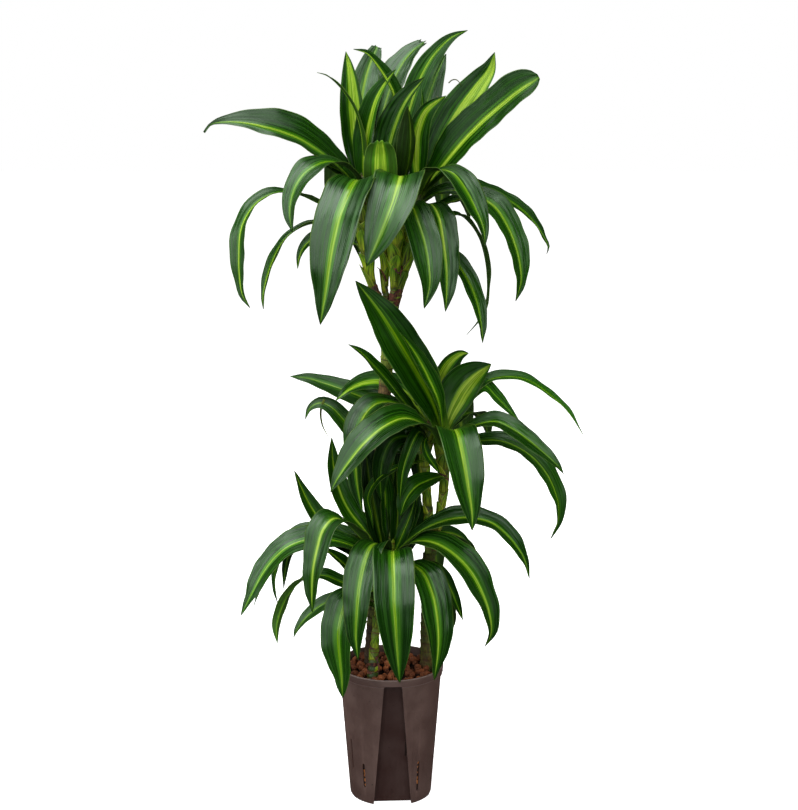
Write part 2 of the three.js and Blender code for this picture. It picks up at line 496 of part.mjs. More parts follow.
function stemBody(rows, grow = 0, sides = 10, step = 30) {
  // Rings round a smooth line through the rows, square to it, with each row's radius.
  const points = rows.map(([x, y, z]) => new THREE.Vector3(x, y, z));
  const line = new THREE.CatmullRomCurve3(points, false, 'centripetal');
  const steps = Math.max(6, Math.round(line.getLength() / step));
  const rings = [];
  for (let i = 0; i <= steps; i += 1) {
    const t = i / steps;
    const along = line.getTangent(t);
    const centre = line.getPoint(t);
    if (i === 0) centre.addScaledVector(along, -grow);
    if (i === steps) centre.addScaledVector(along, grow);
    const place = t * (rows.length - 1);
    const from = Math.min(Math.floor(place), rows.length - 2);
    const radius = THREE.MathUtils.lerp(rows[from][3], rows[from + 1][3], place - from) + grow;
    const right = new THREE.Vector3(0, 1, 0).cross(along).normalize();
    const up = along.clone().cross(right);
    const ring = [];
    for (let j = 0; j < sides; j += 1) {
      const angle = 2 * Math.PI * j / sides;
      ring.push(centre.clone()
        .addScaledVector(right, radius * Math.cos(angle))
        .addScaledVector(up, radius * Math.sin(angle)));
    }
    rings.push(ring);
  }
  return ringSolid(rings);
}

// ---- leaves -----------------------------------------------------------------------------------

function seen([x, z, y]) {
  const scale = (y - eye.y) / -eye.y;
  return new THREE.Vector3(eye.x + (x - eye.x) * scale, y, eye.z + (z - eye.z) * scale);
}

function leafWidth(t, blunt) {
  const opening = THREE.MathUtils.smoothstep(t, 0, leaf.fullWidthFrom);
  const closing = Math.max(0, (t - leaf.fullWidthTo) / (1 - leaf.fullWidthTo));
  const taper = Math.max(0, 1 - closing ** 1.8) ** (blunt ? 0.5 : 0.9);
  return (leaf.sheath + (1 - leaf.sheath) * opening) * taper;
}

function leafBody([name, width, turn, rows]) {
  const line = new THREE.CatmullRomCurve3(rows.map(seen), false, 'centripetal');
  const wanted = Math.round(line.getLength() / leaf.segmentLength);
  const segments = THREE.MathUtils.clamp(wanted, leaf.fewestSegments, leaf.mostSegments);
  const reach = line.getPoint(1).sub(line.getPoint(0)).setZ(0).normalize();
  const across = reach.clone().cross(new THREE.Vector3(0, 0, 1));
  const hand = reach.x >= 0 ? 1 : -1;
  const rings = [];
  for (let i = 0; i <= segments; i += 1) {
    const t = i / segments;
    const along = line.getTangentAt(t);
    const centre = line.getPointAt(t);
    const level = across.clone().addScaledVector(along, -across.dot(along)).normalize();
    const up = level.clone().cross(along);
    const near = level.multiplyScalar(hand);
    const roll = radians(THREE.MathUtils.lerp(turn[0], turn[1], t));
    const face = up.clone().multiplyScalar(Math.cos(roll)).addScaledVector(near, Math.sin(roll));
    const side = near.clone().multiplyScalar(Math.cos(roll)).addScaledVector(up, -Math.sin(roll));
    const half = Math.max(leaf.tipRadius, width / 2 * leafWidth(t, bluntLeaves.has(name)));
    const fold = radians(leaf.fold);
    const point = (s, lift) => centre.clone()
      .addScaledVector(side, s * half * Math.cos(fold) * hand)
      .addScaledVector(face, Math.abs(s) * half * Math.sin(fold) + lift);
    const rib = leaf.ribThickness / 2;
    rings.push([point(0, rib), point(1, 0), point(0, -rib), point(-1, 0)]);
  }
  return ringSolid(rings);
}

// ---- assembly -----------------------------------------------------------------------------------

function headBody(rows, shoots) {
  // The leaves of one head, fused with the shoots that carry them and clear of the canes.
  const parts = rows.map(leafBody);
  for (const shoot of shoots) parts.push(stemBody(stems[shoot]));
  let head = wasm.Manifold.union(parts);
  for (const cane of ['caneTall', 'caneMiddle']) head = head.subtract(stemBody(stems[cane], GAP));
  return mainPiece(head);
}

function piece(name, body, color, roughness) {
  const { vertProperties, triVerts, numProp } = body.getMesh();
  const geometry = new THREE.BufferGeometry();
  const positions = new Float32Array(vertProperties.length / numProp * 3);
  for (let i = 0; i < positions.length / 3; i += 1) {
    for (let k = 0; k < 3; k += 1) positions[3 * i + k] = vertProperties[numProp * i + k];
  }
  geometry.setAttribute('position', new THREE.BufferAttribute(positions, 3));
  geometry.setIndex(new THREE.BufferAttribute(triVerts, 1));
  const material = new THREE.MeshStandardMaterial({ color, roughness, metalness: 0 });
  const mesh = new THREE.Mesh(geometry, material);
  mesh.name = name;
  return mesh;
}

const plant = new THREE.Group();
plant.add(
  piece('pot', potBody(), 0x4b3c38, 0.55),
  piece('clay_granules', clayBody(), 0x7a4630, 0.9),
  piece('cane_tall', stemBody(stems.caneTall), 0x57422a, 0.8),
  piece('cane_middle', stemBody(stems.caneMiddle), 0x4a4a24, 0.75),
  piece('head_upper', headBody(upperLeaves,
    ['upperLeft', 'upperSlim', 'upperFront', 'upperRight']), 0x2f6a24, 0.4),
  piece('head_middle', headBody(middleLeaves,
    ['middleLeft', 'middleRight']), 0x2f6a24, 0.4),
  piece('head_lower', headBody(lowerLeaves, ['low']), 0x2f6a24, 0.4),
);

export default plant;
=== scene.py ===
"""Potted corn plant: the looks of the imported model, in metres, in the model's own frame."""

import math
import random

import bmesh
import bpy
import numpy as np
from mathutils import Matrix, Vector


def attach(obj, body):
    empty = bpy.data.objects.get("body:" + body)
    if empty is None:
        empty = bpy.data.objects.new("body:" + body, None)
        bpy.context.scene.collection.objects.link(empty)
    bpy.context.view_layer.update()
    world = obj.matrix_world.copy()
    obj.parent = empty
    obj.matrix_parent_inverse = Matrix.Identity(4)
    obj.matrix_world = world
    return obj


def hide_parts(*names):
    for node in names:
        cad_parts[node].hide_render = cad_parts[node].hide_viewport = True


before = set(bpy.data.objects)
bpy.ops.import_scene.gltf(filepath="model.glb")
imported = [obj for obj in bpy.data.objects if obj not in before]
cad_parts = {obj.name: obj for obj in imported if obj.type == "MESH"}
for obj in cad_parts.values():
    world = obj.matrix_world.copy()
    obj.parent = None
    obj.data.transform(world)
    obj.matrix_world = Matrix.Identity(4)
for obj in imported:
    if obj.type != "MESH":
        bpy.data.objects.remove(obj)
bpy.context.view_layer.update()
MM = 0.001

# ---- camera and light, in metres and watts where no other unit is given ----

EYE = np.array([12.0, -2000.0, 920.0])      # mm, the photograph's viewing point
EYE_TILT = 10.2                             # degrees down
FOCAL_PX = 1480                             # for the 810 px high picture
PICTURE_HEIGHT = 810
SENSOR = 36.0                               # mm
AMBIENT = 0.02
SUN = dict(power=1.65, spread=95, turn=(40, -14, 0))        # W/m2, degrees, degrees
CENTRE = (0.0, 0.0, 0.6)
# Lamps: (name, place, aim, width and height, power, whether glossy faces reflect it).
LAMPS = [
    ("top_soft", (-0.8, -0.4, 3.3), CENTRE, (2.8, 2.4), 92, True),
    ("front_soft", (0.0, -2.5, 1.75), (0.0, 0.0, 0.8), (2.8, 2.8), 48, True),
    ("left_soft", (-2.6, -1.2, 1.5), CENTRE, (1.2, 2.2), 38, True),
    ("right_soft", (2.6, -0.9, 1.4), CENTRE, (1.2, 2.2), 40, False),
    ("rim_left", (-2.3, 2.0, 1.3), CENTRE, (1.0, 2.2), 45, False),
    ("rim_right", (2.3, 2.0, 1.3), CENTRE, (1.0, 2.2), 45, False),
]
FLOOR = dict(size=40.0, drop=0.0005)

# ---- sizes and places repeated from the model's source, in mm ----

POT = dict(height=190, base=59.6, wall_top=73.6, rim=75, band=11, wall=1.8, floor=3)
POT_TURN = 3                                # degrees, the recess to the right
UNDER_BAND = POT["height"] - POT["band"]
CHANNEL = dict(bottom=26.3, top_half=12.5, top=181, corner=3, floor_at_base=42.5, lean=6.2)
PANEL = dict(half_angle=26, depth=1.6, out_to=6, bottom=-1, top=176, columns=40)
OUTSIDE = -110                              # y of a cutter's front, clear of the pot
SLOT_WIDTH = 3.6
SLOT_REACH = (-95, -50)                     # a slot's cutter, from outside to inside the wall
# (degrees from the recess, lower end, upper end)
SLOTS = [
    (-39, 23, 60), (35, 18, 63), (-77, 10, 57), (69, 20, 59), (-59, 45, 91),
    (-147, 23, 60), (139, 18, 63), (-107, 12, 58), (105, 20, 60), (121, 45, 91),
]

# Stems as (x, y, z, radius).
STEMS = {
    "cane_tall": [(-31, 18, 62, 8), (-30, 18, 176, 8), (-26, 17, 250, 7.6), (-17, 11, 425, 8.6),
                  (-6, 3, 600, 8.8), (-1, 1, 670, 9.8), (0, 0, 697, 9.2)],
    "cane_middle": [(50, 10, 62, 8.5), (51, 10, 190, 9), (52, 10, 250, 9.2), (54, 10, 330, 9.4),
                    (54, 10, 347, 8.6)],
    "low": [(-26, -40, 66, 8), (-25, -38, 172, 8.4), (-23, -35, 205, 6.8), (-20, -30, 250, 5),
            (-11, -18, 310, 6.5), (-4, -9, 345, 9.5), (-2, -5, 372, 8), (-1, -4, 400, 3.5)],
    "upper_left": [(-4, 0, 690, 5.2), (-14, -2, 706, 5.6), (-22, -1, 720, 5.6),
                   (-28, 0, 740, 6.2), (-31, 0, 765, 8), (-34, 0, 800, 9.5),
                   (-34, 0, 862, 10), (-34, 0, 890, 7), (-34, 2, 920, 3)],
    "upper_slim": [(-3, 3, 692, 4), (-7, 6, 720, 4.4), (-7, 7, 745, 5), (-7, 6, 765, 6.5),
                   (-6, 5, 785, 9), (-9, 3, 820, 9.5), (-9, 2, 885, 7), (-9, 4, 915, 3)],
    "upper_front": [(2, -3, 692, 4.4), (5, -7, 722, 4.8), (5.5, -9, 745, 6), (6, -9, 765, 8),
                    (7, -8, 785, 9.5), (10, -6, 820, 10), (10, -4, 885, 7), (11, -4, 915, 3)],
    "upper_right": [(4, 0, 690, 6.4), (9, 1, 712, 6.6), (14, 2, 735, 7.8), (19, 3, 752, 8.6),
                    (23, 3, 770, 9.4), (31, 4, 800, 10.5), (38, 3, 840, 10.5),
                    (40, 2, 865, 10), (41, 3, 895, 7), (42, 4, 925, 3)],
    "middle_left": [(53, 10, 338, 5.4), (53, 10, 400, 6.2), (50, 10, 440, 6.2),
                    (48, 12, 480, 6.6), (52, 13, 512, 8.5), (57, 13, 532, 7),
                    (60, 13, 552, 3.5)],
    "middle_right": [(59, 11, 344, 5), (69, 12, 400, 5.8), (75, 12, 452, 6.2),
                     (72, 11, 480, 8), (70, 10, 508, 9.5), (71, 12, 524, 7.5),
                     (73, 12, 545, 3)],
}
SHOOTS = {
    "head_upper": ["upper_left", "upper_slim", "upper_front", "upper_right"],
    "head_middle": ["middle_left", "middle_right"],
    "head_lower": ["low"],
}
HEAD_OF = {stem: head for head, stems in SHOOTS.items() for stem in stems}

# Leaves as [name, width, [turn at root, turn at tip], midrib points]. A point is [x, z, y]: x and
# z as the camera sees them on the plane y = 0, and y how far the point lies behind that plane.
UPPER_LEAVES = [
    # left side of the head
    ["big_left", 54, [35, 62], [[-32, 848, 5], [-58, 875, -5], [-85, 901, -20], [-115, 922, -35],
        [-150, 936, -45], [-185, 943, -50], [-215, 944, -52], [-238, 939, -54], [-247, 928, -55]]],
    ["left_hook", 42, [20, 10], [[-32, 846, -6], [-55, 880, -35], [-82, 889, -55], [-107, 879, -75],
        [-123, 861, -85], [-132, 838, -92], [-134, 816, -95], [-131, 796, -96]]],
    ["left_long", 36, [-30, 65], [[-34, 806, 3], [-65, 822, 12], [-95, 834, 16], [-122, 846, 12],
        [-150, 849, 5], [-174, 839, -5], [-190, 822, -12], [-201, 798, -18], [-204, 768, -20],
        [-204, 738, -20], [-200, 711, -20], [-190, 694, -20]]],
    ["left_thin", 25, [-25, 55], [[-34, 786, 2], [-70, 801, 10], [-100, 808, 15], [-123, 801, 12],
        [-143, 785, 8], [-157, 761, 5], [-166, 737, 2], [-172, 712, 0], [-172, 692, 0]]],
    ["left_short", 22, [10, 75], [[-33, 776, 2], [-75, 788, 22], [-100, 789, 26], [-115, 778, 27],
        [-122, 764, 27], [-125, 747, 27]]],
    ["left_dark", 32, [40, 40], [[-32, 842, -4], [-60, 873, -10], [-98, 892, -15]]],
    # hanging in front
    ["in_left", 26, [60, 125], [[-34, 846, 2], [-36, 862, 10], [-42, 852, 16], [-45, 822, 19],
        [-44, 792, 19], [-42, 764, 18]]],
    ["front_left", 66, [0, 0], [[-32, 840, -6], [-40, 864, -50], [-50, 858, -100], [-66, 820, -138],
        [-78, 770, -150], [-87, 715, -150], [-95, 671, -145]]],
    ["front_mid", 68, [0, 0], [[2, 842, -10], [14, 870, -60], [12, 862, -100], [1, 829, -128],
        [-12, 795, -142], [-32, 750, -147]]],
    ["front_blunt", 46, [0, 0], [[-11, 838, -6], [-13, 870, -45], [-13, 900, -62], [-13, 917, -80]]],
    ["front_right_a", 46, [0, 0], [[14, 828, -8], [28, 832, -60], [36, 812, -85], [45, 785, -100],
        [51, 755, -108], [53, 725, -110], [46, 693, -110]]],
    ["front_right_b", 40, [0, 0], [[36, 822, -4], [54, 834, -40], [66, 817, -65], [73, 780, -80],
        [77, 745, -86], [77, 715, -88], [75, 689, -88]]],
    ["front_right_c", 32, [20, 25], [[34, 786, 3], [62, 784, -10], [80, 765, -20], [97, 745, -30],
        [110, 722, -36], [119, 697, -40], [124, 670, -42], [126, 646, -42]]],
    ["right_hook", 46, [10, 0], [[38, 842, -2], [58, 876, -45], [82, 875, -75], [101, 853, -95],
        [115, 827, -105], [125, 803, -110], [128, 778, -112]]],
    # right side of the head
    ["right_long", 44, [25, 30], [[35, 820, 3], [62, 828, 0], [88, 838, -15], [114, 843, -30],
        [138, 832, -45], [156, 808, -52], [168, 781, -56], [175, 754, -58], [177, 730, -58],
        [170, 703, -56]]],
    ["right_pale", 32, [10, 40], [[37, 830, 5], [75, 853, 12], [105, 859, 18], [133, 852, 22],
        [158, 839, 22], [180, 823, 22], [196, 806, 22], [206, 791, 22], [213, 777, 22], [211, 767, 22]]],
    ["right_striped", 28, [30, 30], [[36, 830, 0], [55, 845, -15], [80, 852, -25], [105, 848, -30],
        [120, 838, -30]]],
    ["right_thin", 26, [5, 20], [[34, 802, 5], [75, 816, 20], [93, 819, 28], [107, 808, 35],
        [119, 790, 40], [127, 765, 42], [131, 735, 42], [130, 705, 40], [120, 678, 38], [104, 657, 36]]],
    ["right_top", 62, [55, 62], [[40, 848, -2], [75, 892, -20], [108, 930, -32], [143, 962, -42],
        [172, 985, -50], [197, 1000, -55]]],
    ["right_lime", 50, [60, 62], [[40, 852, 2], [66, 912, 8], [90, 955, 15], [112, 986, 20],
        [130, 1010, 25], [138, 1032, 28]]],
    # standing leaves of the crown
    ["up_lime_left", 35, [40, 40], [[-35, 850, 2], [-46, 905, 4], [-51, 950, 7], [-54, 1000, 12],
        [-58, 1033, 20]]],
    ["up_blunt_left", 42, [10, 10], [[-34, 850, 4], [-40, 930, 40], [-36, 975, 60], [-28, 1010, 75],
        [-16, 1040, 85]]],
    ["up_thin_left", 18, [15, 15], [[-34, 850, -2], [-38, 925, -20], [-46, 955, -25], [-62, 982, -30],
        [-82, 1001, -35], [-96, 1006, -38]]],
    ["up_left_mid", 29, [85, 95], [[-36, 850, -4], [-37, 905, -14], [-30, 945, -20], [-20, 975, -24],
        [-6, 996, -26], [8, 1010, -27]]],
    ["up_curled", 20, [80, 80], [[8, 852, -2], [14, 930, -12], [12, 965, -18], [4, 990, -22],
        [-12, 1014, -26], [-30, 1032, -30], [-48, 1036, -32]]],
    ["up_blunt_back", 50, [0, 0], [[-9, 852, 6], [-14, 920, 50], [-6, 968, 75], [10, 1008, 95],
        [29, 1033, 110], [47, 1046, 118]]],
    ["up_tallest", 35, [50, 50], [[11, 850, 0], [20, 930, 25], [30, 968, 35], [42, 1001, 42],
        [59, 1029, 50], [80, 1050, 58], [102, 1060, 65]]],
    ["up_back_right", 42, [40, 40], [[36, 850, 6], [38, 925, 40], [47, 960, 55], [57, 992, 65],
        [74, 1030, 80]]],
    ["up_dark_mid", 33, [95, 95], [[-8, 850, -4], [-8, 900, -18], [-3, 928, -24], [6, 952, -30],
        [22, 978, -34], [46, 1000, -38]]],
    ["up_sliver", 14, [60, 60], [[40, 866, 0], [43, 958, 5], [42, 985, 8]]],
    ["up_dark_front", 30, [20, 20], [[13, 848, -6], [22, 900, -40], [24, 940, -50], [23, 963, -56]]],
    ["up_dark_slim", 22, [20, 20], [[10, 848, -4], [13, 900, -35], [19, 950, -40]]],
    ["up_lime_right", 32, [105, 100], [[38, 850, -3], [37, 900, -12], [40, 930, -16], [50, 956, -20],
        [74, 976, -24]]],
    # hidden side
    ["back_a", 40, [0, 0], [[-33, 845, 4], [-50, 880, 45], [-62, 892, 85], [-70, 880, 125],
        [-76, 850, 150], [-78, 815, 160]]],
    ["back_b", 44, [0, 0], [[-12, 848, 4], [-28, 890, 65], [-34, 905, 115], [-34, 893, 160],
        [-32, 860, 186], [-30, 812, 198]]],
    ["back_c", 44, [0, 0], [[-8, 850, 4], [-5, 892, 70], [-4, 906, 120], [-4, 893, 165], [-5, 858, 190],
        [-5, 810, 202]]],
    ["back_d", 44, [0, 0], [[11, 850, 2], [22, 890, 65], [27, 900, 115], [30, 886, 158], [32, 852, 182],
        [32, 805, 192]]],
    ["back_e", 42, [0, 0], [[38, 845, 5], [46, 880, 60], [57, 890, 105], [65, 876, 143], [69, 848, 163],
        [70, 810, 170]]],
    ["back_f", 36, [0, 0], [[39, 845, 4], [64, 852, 35], [84, 852, 60], [98, 838, 88], [107, 814, 102]]],
    ["back_g", 40, [0, 0], [[-9, 852, 4], [-18, 915, 60], [-20, 955, 90], [-14, 985, 112]]],
    ["back_h", 40, [0, 0], [[12, 852, 3], [20, 910, 60], [28, 950, 90], [36, 978, 112]]],
    ["back_low_a", 34, [0, 0], [[-33, 790, 2], [-45, 800, 45], [-62, 785, 80], [-72, 755, 95],
        [-75, 718, 98]]],
    ["back_low_b", 34, [0, 0], [[8, 792, -10], [35, 800, 55], [48, 785, 92], [54, 755, 110],
        [56, 718, 116]]],
]
MIDDLE_LEAVES = [
    # standing leaves
    ["up_left_big", 62, [62, 78], [[72, 518, -5], [57, 562, -12], [37, 600, -18], [13, 642, -22],
        [-15, 688, -25], [-47, 731, -26]]],
    ["up_left_slim", 30, [60, 70], [[72, 526, -6], [66, 565, -24], [52, 598, -32], [34, 632, -38],
        [13, 661, -42]]],
    ["up_left_thin", 28, [40, 55], [[52, 524, 8], [22, 560, -15], [-5, 595, -27], [-25, 617, -33],
        [-42, 635, -37], [-57, 644, -39]]],
    ["up_right_wide", 54, [50, 60], [[73, 522, 10], [82, 556, 18], [95, 583, 30], [114, 603, 40],
        [138, 617, 48]]],
    ["up_right_short", 38, [70, 75], [[62, 538, 14], [68, 588, 40], [75, 608, 50], [86, 622, 60],
        [97, 630, 67], [107, 632, 73]]],
    # left side of the head
    ["left_flat", 36, [38, 58], [[52, 528, 14], [5, 556, 32], [-35, 569, 40], [-65, 581, 44],
        [-90, 590, 46], [-113, 597, 46], [-137, 600, 46]]],
    ["left_arch", 32, [45, 60], [[54, 534, 14], [20, 578, 34], [-10, 593, 36], [-35, 592, 33],
        [-52, 585, 24], [-63, 577, 14], [-75, 566, 8]]],
    ["left_tail", 31, [50, 60], [[49, 495, 14], [10, 500, 34], [-15, 508, 40], [-48, 522, 45],
        [-66, 541, 47], [-80, 556, 47], [-96, 563, 47], [-110, 556, 47], [-117, 540, 47]]],
    ["left_behind", 46, [15, 10], [[56, 522, 6], [28, 553, -20], [5, 563, -32], [-18, 562, -42],
        [-34, 548, -50], [-44, 525, -54], [-48, 495, -56], [-47, 462, -56], [-43, 430, -54],
        [-38, 405, -53]]],
    ["left_front", 56, [20, 20], [[66, 505, 0], [50, 530, -50], [20, 541, -75], [-8, 530, -95],
        [-35, 507, -108], [-58, 479, -114], [-74, 455, -116], [-83, 437, -116]]],
    ["left_olive", 22, [45, 60], [[52, 512, 10], [39, 522, -22], [27, 498, -34], [17, 465, -38],
        [13, 425, -38]]],
    ["left_dark", 30, [45, 70], [[51, 514, 8], [5, 512, -26], [-10, 485, -33], [-14, 452, -36],
        [-12, 424, -37]]],
    ["left_strap", 14, [20, 30], [[49, 482, 8], [15, 474, -26], [-18, 455, -38], [-31, 430, -38],
        [-27, 408, -36], [-24, 384, -34]]],
    ["low_left", 36, [20, 30], [[73, 460, 8], [52, 454, -16], [34, 444, -26], [21, 426, -30],
        [14, 403, -30]]],
    ["in_grey", 18, [50, 60], [[50, 505, 10], [32, 530, 2], [18, 528, -8], [11, 514, -13],
        [9, 497, -15]]],
    ["in_dark", 36, [60, 112], [[52, 510, 13], [25, 538, 30], [8, 530, 36], [3, 500, 38], [4, 465, 38],
        [6, 425, 36]]],
    ["in_dark_left", 42, [60, 108], [[51, 512, 13], [12, 540, 34], [-14, 532, 42], [-29, 505, 44],
        [-34, 470, 44], [-33, 425, 42]]],
    ["in_olive", 30, [60, 135], [[54, 505, 13], [50, 524, 26], [43, 510, 32], [40, 482, 34],
        [40, 440, 34]]],
    ["in_small", 12, [20, 60], [[52, 518, 6], [47, 507, -3], [51, 491, -6], [60, 477, -7],
        [68, 464, -6]]],
    ["up_lime", 28, [60, 60], [[72, 520, 12], [84, 545, 22], [98, 567, 30], [109, 590, 36]]],
    # front and right side
    ["front_hanging", 56, [0, 0], [[67, 505, 5], [86, 525, -55], [92, 520, -88], [98, 495, -108],
        [104, 465, -118], [109, 435, -122], [113, 408, -122], [114, 382, -122]]],
    ["right_far", 27, [15, 30], [[72, 524, 14], [97, 545, 28], [112, 575, 40], [132, 593, 50],
        [157, 599, 55], [185, 596, 55], [213, 579, 52], [243, 552, 48], [266, 518, 44]]],
    ["right_edge", 24, [60, 60], [[73, 535, 18], [126, 588, 45], [145, 572, 52], [161, 555, 55],
        [178, 537, 56]]],
    ["right_high", 36, [20, 35], [[68, 508, 10], [100, 523, -5], [122, 533, -15], [146, 536, -25],
        [170, 525, -35], [195, 507, -42], [215, 490, -46], [230, 476, -48], [240, 463, -48]]],
    ["right_low", 40, [20, 35], [[70, 488, 10], [100, 504, 8], [126, 510, 5], [152, 510, 0],
        [178, 500, -5], [200, 484, -10], [216, 465, -14], [227, 443, -16], [234, 418, -18],
        [233, 393, -18], [223, 369, -18]]],
    # hidden side
    ["back_a", 40, [0, 0], [[54, 524, 14], [52, 555, 60], [40, 568, 105], [24, 558, 140], [10, 528, 158],
        [4, 495, 163]]],
    ["back_b", 44, [0, 0], [[70, 524, 16], [70, 560, 70], [66, 572, 120], [63, 558, 162],
        [62, 530, 182]]],
    ["back_c", 44, [0, 0], [[72, 526, 16], [84, 560, 65], [91, 570, 110], [96, 553, 148], [99, 518, 170],
        [100, 480, 178]]],
    ["back_d", 36, [0, 0], [[72, 518, 14], [100, 545, 50], [118, 549, 80], [130, 535, 102],
        [136, 512, 112]]],
    ["back_e", 34, [40, 40], [[56, 532, 14], [45, 582, 40], [27, 618, 55]]],
]
LOWER_LEAVES = [
    # left side of the head
    ["up_left", 34, [25, 35], [[-5, 342, -10], [-35, 382, -14], [-58, 412, 0], [-72, 444, 12],
        [-79, 480, 20], [-81, 515, 26]]],
    ["up_far_left", 30, [30, 40], [[-6, 338, -10], [-42, 358, -12], [-74, 374, 2], [-96, 396, 16],
        [-112, 420, 22], [-124, 445, 26], [-133, 468, 28]]],
    ["left_long", 46, [20, 40], [[-8, 334, -12], [-45, 356, -14], [-80, 368, -16], [-113, 369, -22],
        [-142, 359, -30], [-164, 340, -35], [-181, 316, -39], [-195, 290, -42], [-211, 258, -44]]],
    ["left_under", 30, [10, 30], [[-8, 326, -10], [-45, 350, -12], [-80, 371, 10], [-138, 362, 25],
        [-173, 322, 28], [-193, 270, 30]]],
    ["left_hanging", 46, [10, 15], [[-6, 336, -14], [-40, 370, -40], [-60, 391, -62], [-78, 399, -80],
        [-93, 383, -95], [-102, 353, -103], [-108, 323, -107], [-110, 293, -108], [-110, 263, -108]]],
    ["left_back", 26, [0, 75], [[-3, 338, -6], [2, 352, 34], [-40, 370, 50], [-75, 381, 56],
        [-105, 384, 58], [-129, 379, 60], [-149, 360, 60], [-160, 332, 60], [-163, 302, 60],
        [-159, 277, 60]]],
    ["left_back_slim", 24, [10, 80], [[-8, 320, -14], [-45, 345, -16], [-80, 368, 12], [-120, 370, 28],
        [-139, 352, 32], [-147, 325, 34], [-150, 298, 34]]],
    ["left_low", 29, [70, -75], [[-14, 292, -20], [-40, 297, -16], [-68, 307, -10], [-95, 317, -4],
        [-121, 311, -2], [-142, 291, -2], [-155, 265, -3], [-161, 240, -4], [-160, 217, -4]]],
    ["left_lowest", 28, [20, 30], [[-18, 270, -26], [-50, 282, -32], [-80, 281, -40], [-102, 270, -47],
        [-118, 256, -51], [-130, 241, -53], [-137, 226, -54]]],
    ["left_inner", 26, [35, 40], [[-14, 300, -16], [-40, 313, -22], [-62, 331, -30], [-80, 347, -36],
        [-96, 358, -40]]],
    # hanging in front
    ["up_in_right", 28, [70, 80], [[10, 336, 6], [24, 368, 18], [34, 400, 22], [39, 435, 22]]],
    ["front_left_low", 54, [0, 0], [[-17, 278, -26], [-43, 290, -60], [-60, 280, -85], [-69, 256, -98],
        [-73, 230, -104], [-72, 202, -106], [-69, 170, -106], [-68, 136, -104]]],
    ["front_left", 45, [0, 0], [[-5, 338, -14], [-16, 363, -58], [-29, 356, -90], [-39, 328, -112],
        [-45, 295, -124], [-48, 260, -130], [-49, 228, -130], [-46, 193, -128]]],
    ["front_mid", 57, [0, 0], [[-3, 332, -14], [3, 353, -70], [3, 345, -105], [4, 315, -130],
        [5, 280, -142], [7, 245, -145], [9, 212, -142], [11, 185, -138], [13, 159, -132]]],
    ["front_right", 52, [0, 0], [[-5, 318, -14], [26, 333, -60], [46, 320, -88], [58, 292, -104],
        [64, 263, -112], [67, 235, -115], [67, 206, -115], [62, 163, -112]]],
    # right side
    ["right_front", 54, [10, 10], [[-1, 338, -12], [35, 366, -42], [64, 363, -62], [91, 346, -80],
        [113, 321, -92], [129, 291, -98], [139, 262, -101], [142, 233, -101], [133, 212, -100]]],
    ["right_long", 40, [20, 30], [[-1, 342, -10], [25, 368, -16], [50, 386, -26], [80, 398, -34],
        [110, 401, -41], [140, 394, -46], [160, 379, -48], [174, 363, -50], [187, 342, -50],
        [195, 312, -50]]],
    ["right_back", 30, [10, 20], [[-3, 342, -4], [28, 366, 28], [55, 376, 37], [80, 379, 39],
        [100, 371, 39], [114, 350, 37], [119, 325, 35]]],
    ["right_inner", 24, [10, 60], [[-7, 308, -14], [40, 323, -20], [60, 327, -22], [75, 314, -22],
        [86, 293, -22], [94, 273, -20], [102, 252, -18]]],
    ["right_low_back", 26, [0, 0], [[-11, 297, -18], [28, 306, 29], [58, 308, 39], [79, 288, 39],
        [88, 260, 37], [83, 227, 35]]],
    # standing leaves
    ["up_mid", 32, [60, 60], [[-3, 344, -10], [-6, 395, -15], [-8, 440, -16], [-14, 478, -17],
        [-18, 498, -17]]],
    ["up_dark", 34, [60, 60], [[-7, 340, -14], [-17, 385, -18], [-25, 430, -18], [-31, 468, -14],
        [-34, 498, -10]]],
    ["up_behind", 28, [60, 60], [[0, 342, -9], [9, 385, -6], [10, 430, 0], [8, 475, 4]]],
    ["up_slant", 20, [50, 50], [[1, 340, -9], [16, 375, -8], [27, 402, -4], [36, 432, 0]]],
    ["up_right", 26, [50, 50], [[-1, 344, -8], [20, 385, 4], [34, 418, 8], [40, 445, 10]]],
    # hidden side
    ["back_a", 42, [0, 0], [[-3, 344, -4], [-9, 385, 62], [-20, 398, 110], [-32, 385, 148],
        [-41, 350, 170], [-45, 310, 178]]],
    ["back_b", 44, [0, 0], [[-2, 344, -4], [5, 385, 70], [8, 398, 120], [10, 384, 160], [12, 350, 183],
        [12, 305, 190]]],
    ["back_c", 42, [0, 0], [[-1, 344, -5], [28, 380, 60], [45, 387, 105], [58, 371, 140], [64, 340, 156],
        [66, 300, 160]]],
    ["back_d", 38, [0, 0], [[-1, 342, -6], [45, 371, 45], [80, 376, 68], [105, 360, 89], [118, 333, 98],
        [124, 298, 100]]],
    ["back_e", 38, [0, 0], [[-2, 342, -5], [3, 360, 40], [-45, 377, 64], [-75, 379, 83], [-96, 361, 98],
        [-104, 333, 106]]],
    ["back_low_a", 34, [0, 0], [[-8, 302, -14], [-4, 314, 42], [-25, 304, 74], [-40, 272, 87],
        [-45, 235, 90]]],
    ["back_low_b", 34, [0, 0], [[-7, 302, -14], [12, 314, 42], [16, 300, 76], [16, 265, 92],
        [15, 230, 95]]],
]
LEAVES = {"head_upper": UPPER_LEAVES, "head_middle": MIDDLE_LEAVES, "head_lower": LOWER_LEAVES}

# ---- what scene.py adds to the model, in mm ----

LEAF = dict(fold=16, sheath=0.42, full_from=0.42, full_to=0.52, tip=0.35, groove=0.5,
            edge_thickness=0.45, rib_thickness=1.3, wavy_from=40, steps=44)
# Places across a blade, from one margin to the other.
ACROSS = np.array([-1, -0.93, -0.78, -0.6, -0.4, -0.2, -0.05, 0.05, 0.2, 0.4, 0.6, 0.78, 0.93, 1])
